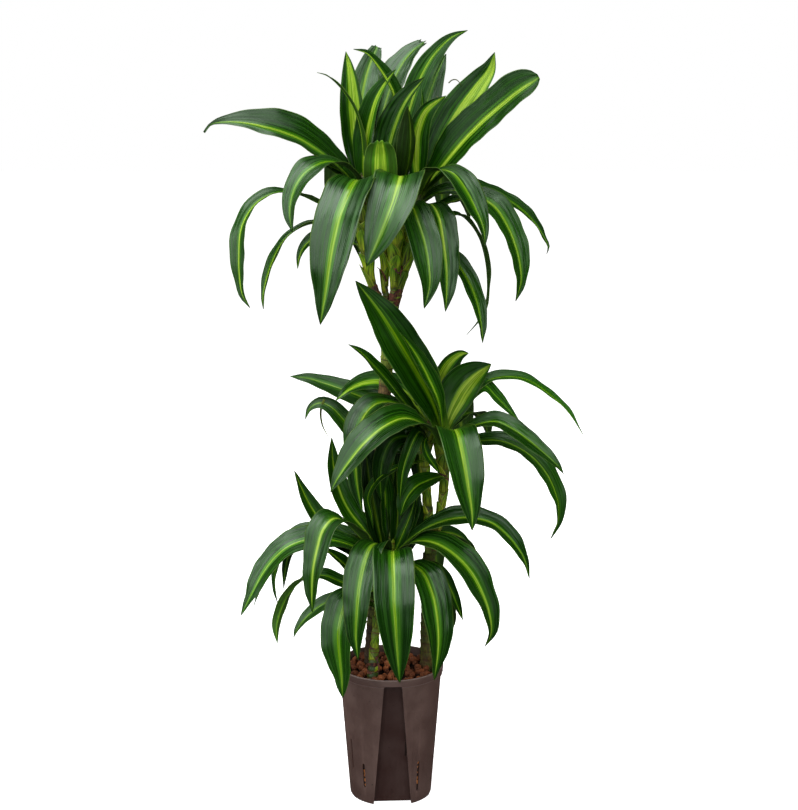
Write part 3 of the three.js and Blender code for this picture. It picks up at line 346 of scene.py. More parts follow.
# Waves along the margins: (shortest, longest, height).
LEAF_WAVES = [(70, 120, 1.6), (26, 44, 0.7)]
TORN = {"front_blunt": 3.5, "up_blunt_left": 2.5, "up_blunt_back": 4.0}     # depth of the rags
ROUNDED = {"right_top"}
SLIM_TIPS = {"big_left"}
# Leaves whose lime stripe is wider, narrower or more to one side than usual: (half width, shift).
STRIPES = {
    "right_lime": (0.55, 0.35), "up_lime_left": (0.5, -0.25), "up_lime_right": (0.36, -0.15),
    "right_far": (0.1, 0.0), "front_blunt": (0.42, 0.0), "up_dark_front": (0.14, -0.4),
    "up_dark_slim": (0.05, 0.0), "left_dark": (0.08, 0.0), "up_dark_mid": (0.2, 0.5),
    "up_left_mid": (0.3, 0.4), "up_curled": (0.25, 0.6), "big_left": (0.16, 0.34),
    "up_lime": (0.6, 0.0), "right_top": (0.2, 0.1), "up_right_wide": (0.4, 0.3),
    "right_edge": (0.08, 0.0), "up_right_short": (0.42, -0.15), "left_arch": (0.3, 0.1),
}
# Leaves lighter or darker than the rest, a factor on the leaf's colour: painted light on leaves full in
# the light, painted shade on leaves deep in the heads.
SHADE = {
    "front_blunt": 1.7, "up_lime_left": 1.05, "left_short": 1.9, "left_low": 1.9,
    "left_thin": 1.6, "left_long": 1.3, "up_right_wide": 0.68, "up_right_short": 1.0,
    "up_lime": 1.6, "in_left": 0.4, "up_dark_front": 0.4, "up_dark_mid": 0.7, "in_dark": 0.35,
    "in_dark_left": 0.35, "in_olive": 0.5, "up_dark": 0.4, "up_behind": 0.4, "left_dark": 0.7,
    "up_mid": 0.7, "up_dark_slim": 0.6, "right_far": 2.0, "right_top": 0.85, "big_left": 0.9,
    "right_lime": 0.9, "right_edge": 1.7, "left_arch": 1.5, "in_small": 1.5,
    "left_olive": 0.8, "up_in_right": 0.7, "left_behind": 0.9,
}
# Leaves deep in a head, which catch little sheen.
MATT = {
    "up_lime_left", "up_thin_left", "up_left_mid", "up_curled", "up_dark_mid", "up_sliver",
    "up_dark_front", "up_dark_slim", "up_lime_right", "up_lime", "up_left_big", "up_left_slim",
    "up_left_thin", "left_dark", "in_left", "in_dark", "in_dark_left", "in_olive", "in_small",
    "left_olive", "up_left", "up_far_left", "left_inner", "up_in_right", "right_inner", "up_mid",
    "up_dark", "up_behind", "up_slant", "up_right", "up_right_wide", "up_right_short",
    "low_left", "left_strap", "right_lime", "up_tallest", "right_top",
}

STEM_STEP = 1.6
SHOOT_RINGS = dict(every=7, height=0.9)
LOW_RINGS = dict(every=9, height=0.9)
BARK_RINGS = dict(every=12, height=1.1)
GOLDEN_ANGLE = 137.5
SHEATH_THICKNESS = 0.5
# Clasping leaf bases: (stem, lowest, highest, spacing, length, lean at the tip).
SHEATHS = {
    "sheaths": [
        ("upper_left", 722, 812, 8, 30, 4.0), ("upper_slim", 714, 812, 9, 30, 2.6),
        ("upper_front", 722, 815, 7, 30, 3.0), ("upper_right", 712, 815, 7, 32, 3.4),
        ("middle_left", 372, 505, 11, 24, 1.6), ("middle_right", 380, 505, 11, 24, 1.8),
        ("low", 192, 330, 15, 18, 1.2),
    ],
    "dry": [
        ("upper_left", 694, 718, 5, 15, 1.6), ("upper_slim", 694, 708, 5, 12, 1.6),
        ("upper_front", 694, 710, 5, 12, 1.4), ("upper_right", 692, 712, 4.5, 13, 1.2),
        ("middle_right", 444, 458, 5, 12, 1.4), ("low", 177, 222, 11, 7, 2.6),
    ],
}
# Curled strips: (name, head, width, (x, y, z) points).
SCRAPS = [
    ("left", "upper", 3.0, [(-5, 0, 730), (-8, -3, 738), (-12, -5, 745), (-18, -5, 750)]),
    ("front", "upper", 3.2, [(3, -15, 752), (7, -18, 748), (11, -19, 743), (16, -17, 747)]),
    ("right", "upper", 2.4, [(15, -8, 752), (16, -12, 748), (14, -14, 741), (15, -13, 735)]),
    ("knot", "upper", 2.8, [(-4, -4, 702), (-11, -7, 706), (-15, -7, 712), (-10, -8, 715)]),
    ("curl_a", "upper", 1.6, [(78, 17, 993), (83, 17, 997), (89, 17, 997), (96, 17, 989)]),
    ("curl_b", "upper", 1.5, [(62, 12, 976), (67, 10, 972), (73, 10, 972), (79, 11, 975)]),
    ("strand", "middle", 3.4, [(-93, 46, 560), (-98, 45, 543), (-96, 45, 524), (-88, 45, 507)]),
    ("low", "lower", 3.0, [(-20, -44, 214), (-17, -48, 206), (-16, -49, 197), (-17, -49, 188)]),
]
GREEN_SCRAPS = {"strand", "curl_a", "curl_b"}

# The clay: a heap of separate granules on a core. Wide and thick are shares of a granule's size.
CLAY = dict(top=180, count=150, tries=12000, sizes=(4.4, 7.6), slot_sizes=(3.6, 5.2),
            wide=(0.78, 0.95), thick=(0.68, 0.88), bulge=1.12, knobs=9, deep_share=0.6,
            deep=-5.5, high=1.8, uneven=(-1.8, 2.0), apart=0.88, stem_clearance=9.5,
            core_gap=2.8, core_sides=96)
EDGES = dict(width=0.5, round_from=35, sharp_from=28)       # the pot's; the last two in degrees

# ---- node materials ----


def srgb(r, g, b):
    """A linear colour from sRGB values of 0 to 255."""
    def linear(v):
        v /= 255
        return v / 12.92 if v <= 0.04045 else ((v + 0.055) / 1.055) ** 2.4
    return (linear(r), linear(g), linear(b), 1.0)


class Graph:
    """Short calls that add nodes to a new material and link them."""

    def __init__(self, name, **principled):
        self.material = bpy.data.materials.new(name)
        self.material.use_nodes = True
        self.tree = self.material.node_tree
        self.shader = self.tree.nodes["Principled BSDF"]
        for socket, value in principled.items():
            self.shader.inputs[socket.replace("_", " ")].default_value = value

    def put(self, value, socket):
        if isinstance(value, bpy.types.NodeSocket):
            self.tree.links.new(value, socket)
        elif value is not None:
            socket.default_value = value

    def node(self, kind, inputs=(), **settings):
        """A new node with its settings, and with its first inputs filled in order."""
        made = self.tree.nodes.new(kind)
        for key, value in settings.items():
            setattr(made, key, value)
        for value, socket in zip(inputs, made.inputs):
            self.put(value, socket)
        return made

    def math(self, operation, *values, clamp=False):
        return self.node("ShaderNodeMath", values, operation=operation, use_clamp=clamp).outputs[0]

    def times(self, a, b):
        return self.math("MULTIPLY", a, b)

    def fit(self, value, scale, offset):
        return self.math("MULTIPLY_ADD", value, scale, offset)

    def distance(self, a, b=0.0):
        return self.math("ABSOLUTE", self.math("SUBTRACT", a, b))

    def ramp(self, value, low, high, to_low=0.0, to_high=1.0, kind="SMOOTHSTEP"):
        return self.node("ShaderNodeMapRange", (value, low, high, to_low, to_high), clamp=True,
                         interpolation_type=kind).outputs[0]

    def mix(self, factor, a, b, blend="MIX"):
        made = self.node("ShaderNodeMix", data_type="RGBA", blend_type=blend)
        for value, socket in ((factor, 0), (a, 6), (b, 7)):
            self.put(value, made.inputs[socket])
        return made.outputs[2]

    def layers(self, color, *over):
        """The colour with (factor, colour) layers laid over it in turn."""
        for factor, layer in over:
            color = self.mix(factor, color, layer)
        return color

    def vector(self, x, y, z):
        return self.node("ShaderNodeCombineXYZ", (x, y, z)).outputs[0]

    def axes(self, vector):
        return self.node("ShaderNodeSeparateXYZ", (vector,)).outputs

    def noise(self, vector, scale, detail=3.0, roughness=0.55):
        made = self.node("ShaderNodeTexNoise")
        for value, socket in ((vector, "Vector"), (scale, "Scale"), (detail, "Detail"),
                              (roughness, "Roughness")):
            self.put(value, made.inputs[socket])
        return made.outputs["Fac"]

    def streaks(self, x, x_scale, along, along_scale, seed, detail=2.0, roughness=0.55):
        """Noise drawn out along a blade, different for each seed."""
        place = self.vector(self.times(x, x_scale), self.times(along, along_scale), seed)
        return self.noise(place, 1.0, detail, roughness)

    def place(self):
        return self.node("ShaderNodeTexCoord").outputs["Object"]

    def uv(self):
        return self.axes(self.node("ShaderNodeUVMap", uv_map="UVMap").outputs[0])[:2]

    def look(self):
        """The three values of the mesh's "look" colour, and its alpha."""
        source = self.node("ShaderNodeAttribute", attribute_name="look").outputs
        parts = self.node("ShaderNodeSeparateColor", (source["Color"],)).outputs
        return parts[0], parts[1], parts[2], source["Alpha"]

    def rings(self, up, blotch, wander, half_spacing, half_width):
        """Leaf scars that go round a stem; they wander a little with the blotches."""
        wave = self.math("PINGPONG", self.fit(blotch, wander, up), half_spacing)
        return self.ramp(wave, 0.0, half_width, 1.0, 0.0)

    def bump(self, height, distance, strength=1.0):
        made = self.node("ShaderNodeBump")
        for value, socket in ((strength, "Strength"), (distance, "Distance"), (height, "Height")):
            self.put(value, made.inputs[socket])
        return made.outputs[0]

    def finish(self, color, roughness=None, normal=None):
        self.put(color, self.shader.inputs["Base Color"])
        self.put(roughness, self.shader.inputs["Roughness"])
        self.put(normal, self.shader.inputs["Normal"])
        return self.material


def leaf_material(name, under, shine):
    """A striped blade. Its look colour holds stripe width, stripe shift, tone, and painted light and
    shade.
    """
    g = Graph(name, Specular_IOR_Level=shine, Specular_Tint=(0.8, 1.0, 0.8, 1.0))
    across, along = g.uv()
    stripe_width, shift, tone, shade = g.look()
    x = g.fit(across, 2.0, -1.0)
    seed = g.times(tone, 91.0)
    wander = g.streaks(x, 0.0, along, 2.2, seed)
    streaks = g.streaks(x, 11.0, along, 0.9, seed, 4, 0.6)
    broad = g.streaks(x, 1.6, along, 3.2, seed)
    fine = g.streaks(x, 60.0, along, 3.0, seed)
    swell = g.streaks(x, 2.4, along, 5.0, seed, 1)

    dark = g.mix(g.ramp(tone, 0.0, 1.0, kind="LINEAR"), srgb(7, 35, 1), srgb(17, 52, 3))
    inside = g.math("SUBTRACT", x, g.math("ADD", g.fit(shift, 2.0, -1.0),
                                          g.fit(wander, 0.16, -0.08)))
    # How far a place lies outside the lime stripe, in half widths of the blade.
    outside = g.math("SUBTRACT", g.distance(inside), stripe_width)
    halo = g.times(g.ramp(outside, -0.02, 0.22, 0.8, 0.0), g.ramp(streaks, 0.3, 0.6))
    green = g.layers(dark, (g.ramp(streaks, 0.42, 0.68), srgb(30, 74, 2)),
                     (g.ramp(broad, 0.35, 0.75, 0.0, 0.5), srgb(7, 34, 3)),
                     (halo, srgb(54, 106, 0)))
    lime = g.mix(g.ramp(streaks, 0.38, 0.66), srgb(87, 127, 5), srgb(153, 179, 56))
    # The stripe has ragged sides and two green lines in it, and it fades at the tip.
    ragged = g.fit(fine, 0.10, g.fit(streaks, 0.22, outside))
    middle_line = g.ramp(g.distance(inside, 0.03), 0.01, 0.04, 0.7, 0.0)
    side_line = g.ramp(g.distance(inside, -0.09), 0.008, 0.03, 0.55, 0.0)
    lines = g.math("ADD", g.times(middle_line, g.ramp(wander, 0.3, 0.6)), side_line)
    stripe = g.math("SUBTRACT", g.ramp(ragged, 0.055, 0.13, 1.0, 0.0), lines, clamp=True)
    stripe = g.times(stripe, g.ramp(along, 0.9, 1.0, 1.0, 0.35))
    color = g.layers(green, (stripe, lime),
                     (g.ramp(g.distance(x), 0.955, 0.985, 0.0, 0.35), srgb(112, 140, 62)),
                     (g.ramp(along, 0.0, 0.14, 0.6, 0.0), srgb(84, 118, 26)))
    if under:
        color = g.mix(0.16, color, srgb(84, 112, 38))
    # Painted light and shade: the colour multiplied by the leaf's SHADE factor.
    color = g.mix(1.0, color, g.vector(shade, shade, shade), "MULTIPLY")
    veins = g.math("SINE", g.times(x, 78.0))
    relief = g.fit(swell, 5.0, g.fit(veins, 0.08, g.times(streaks, 0.4)))
    worn = g.fit(broad, 0.4, g.times(streaks, 0.6))
    rough = g.ramp(worn, 0.36, 0.62, 0.4 if under else 0.2, 0.58 if under else 0.42)
    return g.finish(color, rough, g.bump(relief, 0.0006, 0.8))


def shoot_material():
    """Green to olive stem with leaf scars and painted shade under the upper head; v runs up the stem in
    metres.
    """
    g = Graph("shoot_green", Roughness=0.5)
    place = g.place()
    z = g.axes(place)[2]
    blotch = g.noise(place, 42.0, 4, 0.6)
    fine = g.noise(place, 320.0, 3)
    ring = g.rings(g.uv()[1], blotch, 0.002, 0.0045, 0.0011)
    color = g.layers(srgb(36, 52, 2), (g.ramp(blotch, 0.35, 0.68), srgb(104, 128, 18)),
                     (g.ramp(fine, 0.5, 0.75, 0.0, 0.4), srgb(96, 80, 22)),
                     (g.ramp(z, 0.195, 0.235, 0.88, 0.0), srgb(20, 48, 0)),
                     # painted shade on the shoots just under the upper head's leaves
                     (g.ramp(z, 0.757, 0.795, 0.0, 0.55), srgb(12, 26, 0)),
                     (g.times(ring, 0.85), srgb(96, 46, 30)))
    height = g.fit(fine, 0.5, g.times(ring, -0.8))
    return g.finish(color, g.ramp(fine, 0.3, 0.7, 0.42, 0.62), g.bump(height, 0.0005))


def bark_material(name, dark, light, scar, young=None):
    """Cane bark with long fibres, ring scars and dark patches, green above the height young."""
    g = Graph(name, Roughness=0.8)
    place = g.place()
    drawn_out = g.node("ShaderNodeMapping")
    drawn_out.inputs["Scale"].default_value = (1.0, 1.0, 0.12)
    g.put(place, drawn_out.inputs["Vector"])
    fibre = g.noise(drawn_out.outputs[0], 620.0, 4, 0.65)
    blotch = g.noise(place, 30.0, 4, 0.6)
    strands = g.ramp(fibre, 0.35, 0.68)
    color = g.layers(dark, (strands, light), (g.ramp(blotch, 0.45, 0.66, 0.0, 0.8), scar))
    if young:
        z = g.fit(blotch, 0.05, g.axes(place)[2])
        top = g.times(g.ramp(z, young, young + 0.02), g.ramp(z, 0.70, 0.72, 0.9, 0.0))
        low = g.times(g.ramp(z, 0.265, 0.275), g.ramp(z, 0.40, 0.46, 0.85, 0.0))
        color = g.layers(color, (top, g.mix(strands, srgb(72, 92, 8), srgb(134, 152, 48))),
                         (low, g.mix(strands, srgb(34, 40, 4), srgb(84, 94, 22))),
                         (g.ramp(z, 0.262, 0.272, 0.75, 0.0), srgb(26, 11, 5)))
    ring = g.times(g.rings(g.uv()[1], blotch, 0.004, 0.006, 0.0012), 0.7)
    height = g.math("SUBTRACT", fibre, ring)
    return g.finish(g.mix(ring, color, scar), g.ramp(fibre, 0.3, 0.7, 0.7, 0.9),
                    g.bump(height, 0.0009))


def sheath_material():
    """Green to olive leaf base with pale edges and a rusty foot. The look colour holds a tone."""
    g = Graph("leaf_base", Roughness=0.45, Specular_IOR_Level=0.25)
    across, along = g.uv()
    tone = g.look()[0]
    x = g.fit(across, 2.0, -1.0)
    streaks = g.streaks(x, 9.0, along, 1.1, g.times(tone, 57.0), 4, 0.6)
    rise = g.ramp(along, 0.1, 0.8)
    dark = g.mix(rise, srgb(52, 66, 1), srgb(28, 58, 0))
    light = g.mix(rise, srgb(142, 158, 30), srgb(104, 146, 10))
    rust = g.times(g.ramp(along, 0.0, 0.16, 0.8, 0.0), g.ramp(streaks, 0.46, 0.6))
    color = g.layers(dark, (g.ramp(streaks, 0.36, 0.62), light),
                     (g.ramp(g.distance(x), 0.82, 1.0, 0.0, 0.7), srgb(156, 160, 64)),
                     (rust, srgb(84, 42, 26)))
    color = g.mix(1.0, color, g.mix(tone, (0.55, 0.6, 0.5, 1), (1.25, 1.25, 1.1, 1)), "MULTIPLY")
    return g.finish(color, g.ramp(streaks, 0.3, 0.7, 0.38, 0.55), g.bump(streaks, 0.0004))


def dry_material():
    """Dry papery sheath remains."""
    g = Graph("dry_sheath", Roughness=0.75)
    grain = g.noise(g.place(), 180.0, 4, 0.65)
    color = g.mix(g.ramp(grain, 0.35, 0.7), srgb(36, 18, 12), srgb(112, 62, 40))
    return g.finish(color, g.ramp(grain, 0.3, 0.7, 0.65, 0.85), g.bump(grain, 0.0008))


def clay_material():
    """Fired clay with pores and dust. The look colour holds tone, a darkening (at random, and painted
    shade deep in the heap) and painted light through a slot.
    """
    g = Graph("fired_clay", Roughness=0.9, Specular_IOR_Level=0.3)
    place = g.place()
    tone, damp_and_shade, lit, _ = g.look()
    pores = g.noise(place, 900.0, 4, 0.7)
    patch = g.noise(place, 130.0, 3, 0.6)
    color = g.layers(srgb(70, 33, 15), (g.ramp(tone, 0.0, 1.0, kind="LINEAR"), srgb(146, 84, 47)),
                     (g.ramp(patch, 0.42, 0.7, 0.0, 0.7), srgb(70, 38, 26)),
                     (g.ramp(pores, 0.56, 0.72, 0.0, 0.6), srgb(44, 24, 18)),
                     # painted shade deep in the heap and on the core, and a few granules a little darker
                     # at random
                     (g.ramp(damp_and_shade, 0.0, 1.0, 0.0, 0.95), srgb(16, 6, 3)),
                     # painted light on the granules seen through the slots
                     (g.ramp(lit, 0.4, 0.6, 0.0, 0.8), srgb(236, 150, 84)))
    height = g.fit(patch, 0.6, pores)
    return g.finish(color, g.ramp(patch, 0.3, 0.7, 0.8, 0.95), g.bump(height, 0.0009))


def pot_material():
    """Brown moulded plastic: faint grain, dust, small scuffs, painted shade in the recess, painted
    highlights.
    """
    g = Graph("pot_plastic", Roughness=0.5, Specular_IOR_Level=0.45)
    place = g.place()
    grain = g.noise(place, 1500.0, 2)
    cloud = g.noise(place, 24.0, 4, 0.6)
    speck = g.noise(place, 260.0, 2, 0.5)
    scuff = g.noise(place, 75.0, 5, 0.7)
    x, y, z = g.axes(place)
    radius = g.math("SQRT", g.fit(x, x, g.times(y, y)))
    slope = (POT["wall_top"] - POT["base"]) / UNDER_BAND
    # Painted shade: the recess and the inside of the wall stay darker than the outside.
    sunk = g.math("SUBTRACT", g.fit(z, slope, POT["base"] * MM), radius)
    # Painted highlights: a light line along the lip and one along the step under the band.
    lip_low, lip_high = (POT["height"] - 1.3) * MM, (POT["height"] - 0.3) * MM
    step = g.distance(z, UNDER_BAND * MM)
    color = g.layers(srgb(69, 51, 46), (g.ramp(cloud, 0.3, 0.72), srgb(84, 65, 59)),
                     (g.ramp(speck, 0.70, 0.76, 0.0, 0.7), srgb(34, 25, 23)),
                     (g.ramp(scuff, 0.6, 0.78, 0.0, 0.22), srgb(104, 84, 78)),
                     # painted shade in the recess and inside the wall
                     (g.ramp(sunk, 0.0019, 0.005, 0.0, 0.7), srgb(34, 6, 3)),
                     # painted highlights on the lip and along the step
                     (g.ramp(z, lip_low, lip_high, 0.0, 0.35), srgb(150, 132, 124)),
                     (g.ramp(step, 0.0003, 0.0011, 0.3, 0.0), srgb(118, 100, 94)))
    return g.finish(color, g.ramp(cloud, 0.3, 0.7, 0.42, 0.58), g.bump(grain, 0.00012))


def floor_material():
    """Matt white as seen, and darker for the light it sends back up to the plant."""
    g = Graph("pale_floor", Roughness=0.9, Emission_Color=(1, 1, 1, 1))
    seen_directly = g.node("ShaderNodeLightPath").outputs["Is Camera Ray"]
    pale = g.mix(g.noise(g.place(), 3.0, 2), (0.8, 0.8, 0.8, 1), (0.82, 0.82, 0.82, 1))
    g.put(g.times(seen_directly, 0.85), g.shader.inputs["Emission Strength"])
    return g.finish(g.mix(seen_directly, (0.3, 0.3, 0.3, 1), pale))


# ---- mesh helpers ----


def smoothstep(t):
    t = np.clip(t, 0, 1)
    return t * t * (3 - 2 * t)


def unit(v):
    return v / np.linalg.norm(v, axis=-1, keepdims=True)


def add_object(name, mesh, materials, smooth=True):
    for material in materials:
        mesh.materials.append(material)
    if smooth:
        mesh.polygons.foreach_set("use_smooth", [True] * len(mesh.polygons))
    made = bpy.data.objects.new(name, mesh)
    bpy.context.collection.objects.link(made)
    return made


def mesh_from(bm, name):
    """The bmesh as a new mesh; the bmesh is freed."""
    mesh = bpy.data.meshes.new(name)
    bm.to_mesh(mesh)
    bm.free()
    return mesh


def bridge(bm, rings):
    """Faces between neighbouring closed rings of vertices."""
    for one, two in zip(rings, rings[1:]):
        for corners in zip(one, one[1:] + one[:1], two[1:] + two[:1], two):
            bm.faces.new(corners)


def mesh_object(name, verts, faces, places, materials, looks=None):
    """An object from points in mm, with a (u, v) and maybe a look colour for each point."""
    mesh = bpy.data.meshes.new(name)
    mesh.from_pydata((verts * MM).tolist(), [], faces)
    corners = np.empty(len(mesh.loops), int)
    mesh.loops.foreach_get("vertex_index", corners)
    mesh.uv_layers.new(name="UVMap").data.foreach_set("uv", places[corners].ravel())
    if looks is not None:
        look = mesh.color_attributes.new("look", "FLOAT_COLOR", "POINT")
        look.data.foreach_set("color", looks.ravel())
    return add_object(name, mesh, materials)


def declare(piece, node):
    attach(piece, "root")
    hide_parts(node)
    return piece


def smooth_line(points, count):
    """count + 1 points evenly along a centripetal Catmull-Rom curve, and its length."""
    p = np.asarray(points, float)
    p = np.vstack([2 * p[0] - p[1], p, 2 * p[-1] - p[-2]])
    fine = []
    for i in range(1, len(p) - 2):
        quad = p[i - 1:i + 3]
        knots = np.concatenate([[0], np.cumsum(
            np.linalg.norm(np.diff(quad[:, :3], axis=0), axis=1) ** 0.5)])
        for t in np.linspace(knots[1], knots[2], 24, endpoint=False):
            level = list(quad)
            for size in (1, 2, 3):
                blend = []
                for k in range(len(level) - 1):
                    low, high = (1, 2) if size == 3 else (k, k + size)
                    w = (t - knots[low]) / (knots[high] - knots[low])
                    blend.append((1 - w) * level[k] + w * level[k + 1])
                level = blend
            fine.append(level[0])
    fine = np.array([*fine, p[-2]])
    lengths = np.concatenate([[0], np.cumsum(
        np.linalg.norm(np.diff(fine[:, :3], axis=0), axis=1))])
    even = np.linspace(0, lengths[-1], count + 1)
    line = np.stack([np.interp(even, lengths, fine[:, k]) for k in range(fine.shape[1])], 1)
    return line, lengths[-1]


# ---- leaves ----


def seen(point):
    """From (x, z, y) as seen on the plane y = 0 to a place in the model's frame, in mm."""
    x, z, y = point
    scale = (y - EYE[1]) / -EYE[1]
    return np.array([EYE[0] + (x - EYE[0]) * scale, y, EYE[2] + (z - EYE[2]) * scale])


def leaf_width(t, name):
    """Share of the leaf's full width at the shares t of its length."""
    opening = smoothstep(t / LEAF["full_from"])
    closing = np.clip((t - LEAF["full_to"]) / (1 - LEAF["full_to"]), 0, 1)
    if name in TORN:
        taper = 1 - 0.62 * closing ** 2.4
    elif name in ROUNDED:
        taper = (1 - 0.2 * closing) * np.sqrt(1 - 0.97 * np.clip((t - 0.84) / 0.16, 0, 1) ** 2)
    elif name in SLIM_TIPS:
        taper = np.clip(1 - (1.1 * closing) ** 1.5, 0.06, 1)
    else:
        taper = np.clip(1 - closing ** 1.8, 0, 1) ** 0.9
    return (LEAF["sheath"] + (1 - LEAF["sheath"]) * opening) * taper


def leaf_axes(centre, turn):
    """Side and face directions of a blade along its midrib."""
    along = unit(np.gradient(centre, axis=0))
    reach = centre[-1] - centre[0]
    reach[2] = 0
    across = np.cross(unit(reach), [0, 0, 1])
    level = unit(across - along * (along @ across)[:, None])
    up = np.cross(level, along)
    near = level if reach[0] >= 0 else -level
    roll = np.radians(np.linspace(turn[0], turn[1], len(centre)))[:, None]
    face = up * np.cos(roll) + near * np.sin(roll)
    side = near * np.cos(roll) - up * np.sin(roll)
    return side, face, reach[0] >= 0


def shell_faces(rows, columns, start):
    """Faces of a thin closed shell from an outer grid of points and an inner one.

    They are in turn an outer and an inner face, and the faces round the rim come last.
    """
    shift = rows * columns
    faces = []
    for i in range(rows - 1):
        for j in range(columns - 1):
            a = start + i * columns + j
            quad = (a, a + 1, a + columns + 1, a + columns)
            faces += [quad, tuple(v + shift for v in reversed(quad))]
    rim = [(0, j) for j in range(columns)] + [(i, columns - 1) for i in range(1, rows)]
    rim += [(rows - 1, j) for j in range(columns - 2, -1, -1)]
    rim += [(i, 0) for i in range(rows - 2, 0, -1)]
    rim = [start + i * columns + j for i, j in rim]
    for a, b in zip(rim, rim[1:] + rim[:1]):
        faces.append((b, a, a + shift, b + shift))
    return faces


def shells_object(name, across, shells, materials, node, flip=False):
    """One mesh from (outer grid, inner grid, look) shells.

    Each row of a grid has a point at each of the places across, which run from -1 to 1.
    """
    verts, faces, places, looks = [], [], [], []
    for outer, inner, look in shells:
        rows, columns = outer.shape[:2]
        faces += shell_faces(rows, columns, sum(map(len, verts)))
        verts += [outer.reshape(-1, 3), inner.reshape(-1, 3)]
        u, v = np.meshgrid((across + 1) / 2, np.linspace(0, 1, rows))
        places += 2 * [np.stack([u.ravel(), v.ravel()], 1)]
        looks.append(np.tile(look, (2 * rows * columns, 1)))
    if flip:
        faces = [face[::-1] for face in faces]
    made = mesh_object(name, np.concatenate(verts), faces, np.concatenate(places), materials,
                       np.concatenate(looks))
    return declare(made, node)


def build_leaf(head, row, materials, rng):
    """One folded, grooved and waved blade along its row's midrib, with its own stripe."""
    name, width, turn, points = row
    centre, length = smooth_line([seen(p) for p in points], LEAF["steps"])
    side, face, right_handed = leaf_axes(centre, turn)
    t = np.linspace(0, 1, LEAF["steps"] + 1)
    half = np.maximum(LEAF["tip"], width / 2 * leaf_width(t, name))
    fold = math.radians(LEAF["fold"])
    u = ACROSS[None, :]
    s = t[:, None] * length
    # Shallow waves along both margins, calm at the root and the tip.
    calm = smoothstep(t[:, None] / 0.3) * smoothstep((1 - t[:, None]) / 0.12)
    wave = np.zeros((len(t), len(ACROSS)))
    for shortest, longest, height in LEAF_WAVES:
        for margin in (-1, 1):
            pitch, phase = rng.uniform(shortest, longest), rng.uniform(0, 2 * math.pi)
            reach = np.clip(u * margin, 0, 1) ** 2
            wave += height * reach * np.sin(2 * math.pi * s / pitch + phase)
    wave *= calm * min(1.0, width / LEAF["wavy_from"])
    lift = half[:, None] * math.sin(fold) * np.abs(u) ** 1.15 + wave
    groove = -LEAF["groove"] * np.exp(-(u / 0.07) ** 2) * calm
    across = u * half[:, None] * math.cos(fold)
    thick = LEAF["edge_thickness"] + (LEAF["rib_thickness"] - LEAF["edge_thickness"]) \
        * np.exp(-(u / 0.2) ** 2) * (1 - 0.7 * t[:, None])
    middle = centre[:, None, :] + side[:, None, :] * across[..., None]
    if name in TORN:
        # A blunt end, ragged and a little frayed across its width.
        rags = np.array([rng.uniform(-1, 0.4) for _ in ACROSS]) - 1.2 * ACROSS ** 2
        pull = smoothstep((t - 0.93) / 0.07)[:, None] * rags[None, :] * TORN[name]
        middle = middle + unit(np.gradient(centre, axis=0))[:, None, :] * pull[..., None]
    top = middle + face[:, None, :] * (lift + groove + thick / 2)[..., None]
    low = middle + face[:, None, :] * (lift - thick / 2)[..., None]
    stripe, shift_side = STRIPES.get(name, (rng.uniform(0.10, 0.19), rng.uniform(-0.06, 0.06)))
    # The look's last value is the leaf's factor of painted light and shade.
    look = (stripe, (shift_side + 1) / 2, rng.uniform(0, 1), SHADE.get(name, 1.0))
    leaf = shells_object("leaf." + head.split("_")[1] + "." + name, ACROSS, [(top, low, look)],
                         materials, head, flip=not right_handed)
    # The second material goes on the underside and round the edge.
    kinds = [0, 1] * (LEAF["steps"] * (len(ACROSS) - 1))
    kinds += [1] * (len(leaf.data.polygons) - len(kinds))
    leaf.data.polygons.foreach_set("material_index", kinds)
    leaf.data.validate()
    return leaf


# ---- stems ----


def build_stem(name, stem, material, node, rng, rings, sides=28):
    """A ringed stem round a smooth line, with a closed rounded end."""
    count = max(40, int(smooth_line(STEMS[stem], 240)[1] / STEM_STEP))
    line, length = smooth_line(STEMS[stem], count)
    centre, radius = line[:, :3], line[:, 3]
    along = unit(np.gradient(centre, axis=0))
    right = unit(np.cross([0, 1, 0], along))
    up = np.cross(along, right)
    s = np.linspace(0, length, count + 1)
    angle = np.linspace(0, 2 * math.pi, sides, endpoint=False)
    phase = rng.uniform(0, 10)
    # Each internode swells a little below its leaf scar.
    tilt = 0.9 * np.cos(angle[None, :] + 0.7 * s[:, None] / rings["every"])
    cycle = ((s[:, None] + tilt + phase) / rings["every"]) % 1
    swell = rings["height"] * (cycle ** 3 - 0.25)
    lumps = 0.25 * np.sin(3 * angle[None, :] + s[:, None] / 19 + phase)
    r = radius[:, None] + swell + lumps
    points = centre[:, None, :] + r[..., None] * (
        right[:, None, :] * np.cos(angle)[None, :, None]
        + up[:, None, :] * np.sin(angle)[None, :, None])
    ends = [centre[0], centre[-1] + along[-1] * radius[-1] * 0.3]
    faces = []
    for i in range(count):
        for j in range(sides):
            a, b = i * sides + j, i * sides + (j + 1) % sides
            faces.append((a, b, b + sides, a + sides))
    tail, tip = (count + 1) * sides, (count + 1) * sides + 1
    for j in range(sides):
        k = (j + 1) % sides
        faces += [(tail, k, j), (tip, count * sides + j, count * sides + k)]
    place = np.stack([np.tile(angle / (2 * math.pi), count + 1), np.repeat(s * MM, sides)], 1)
    made = mesh_object(name, np.concatenate([points.reshape(-1, 3), ends]), faces,
                       np.concatenate([place, [[0.5, 0], [0.5, length * MM]]]), [material])
    return declare(made, node)


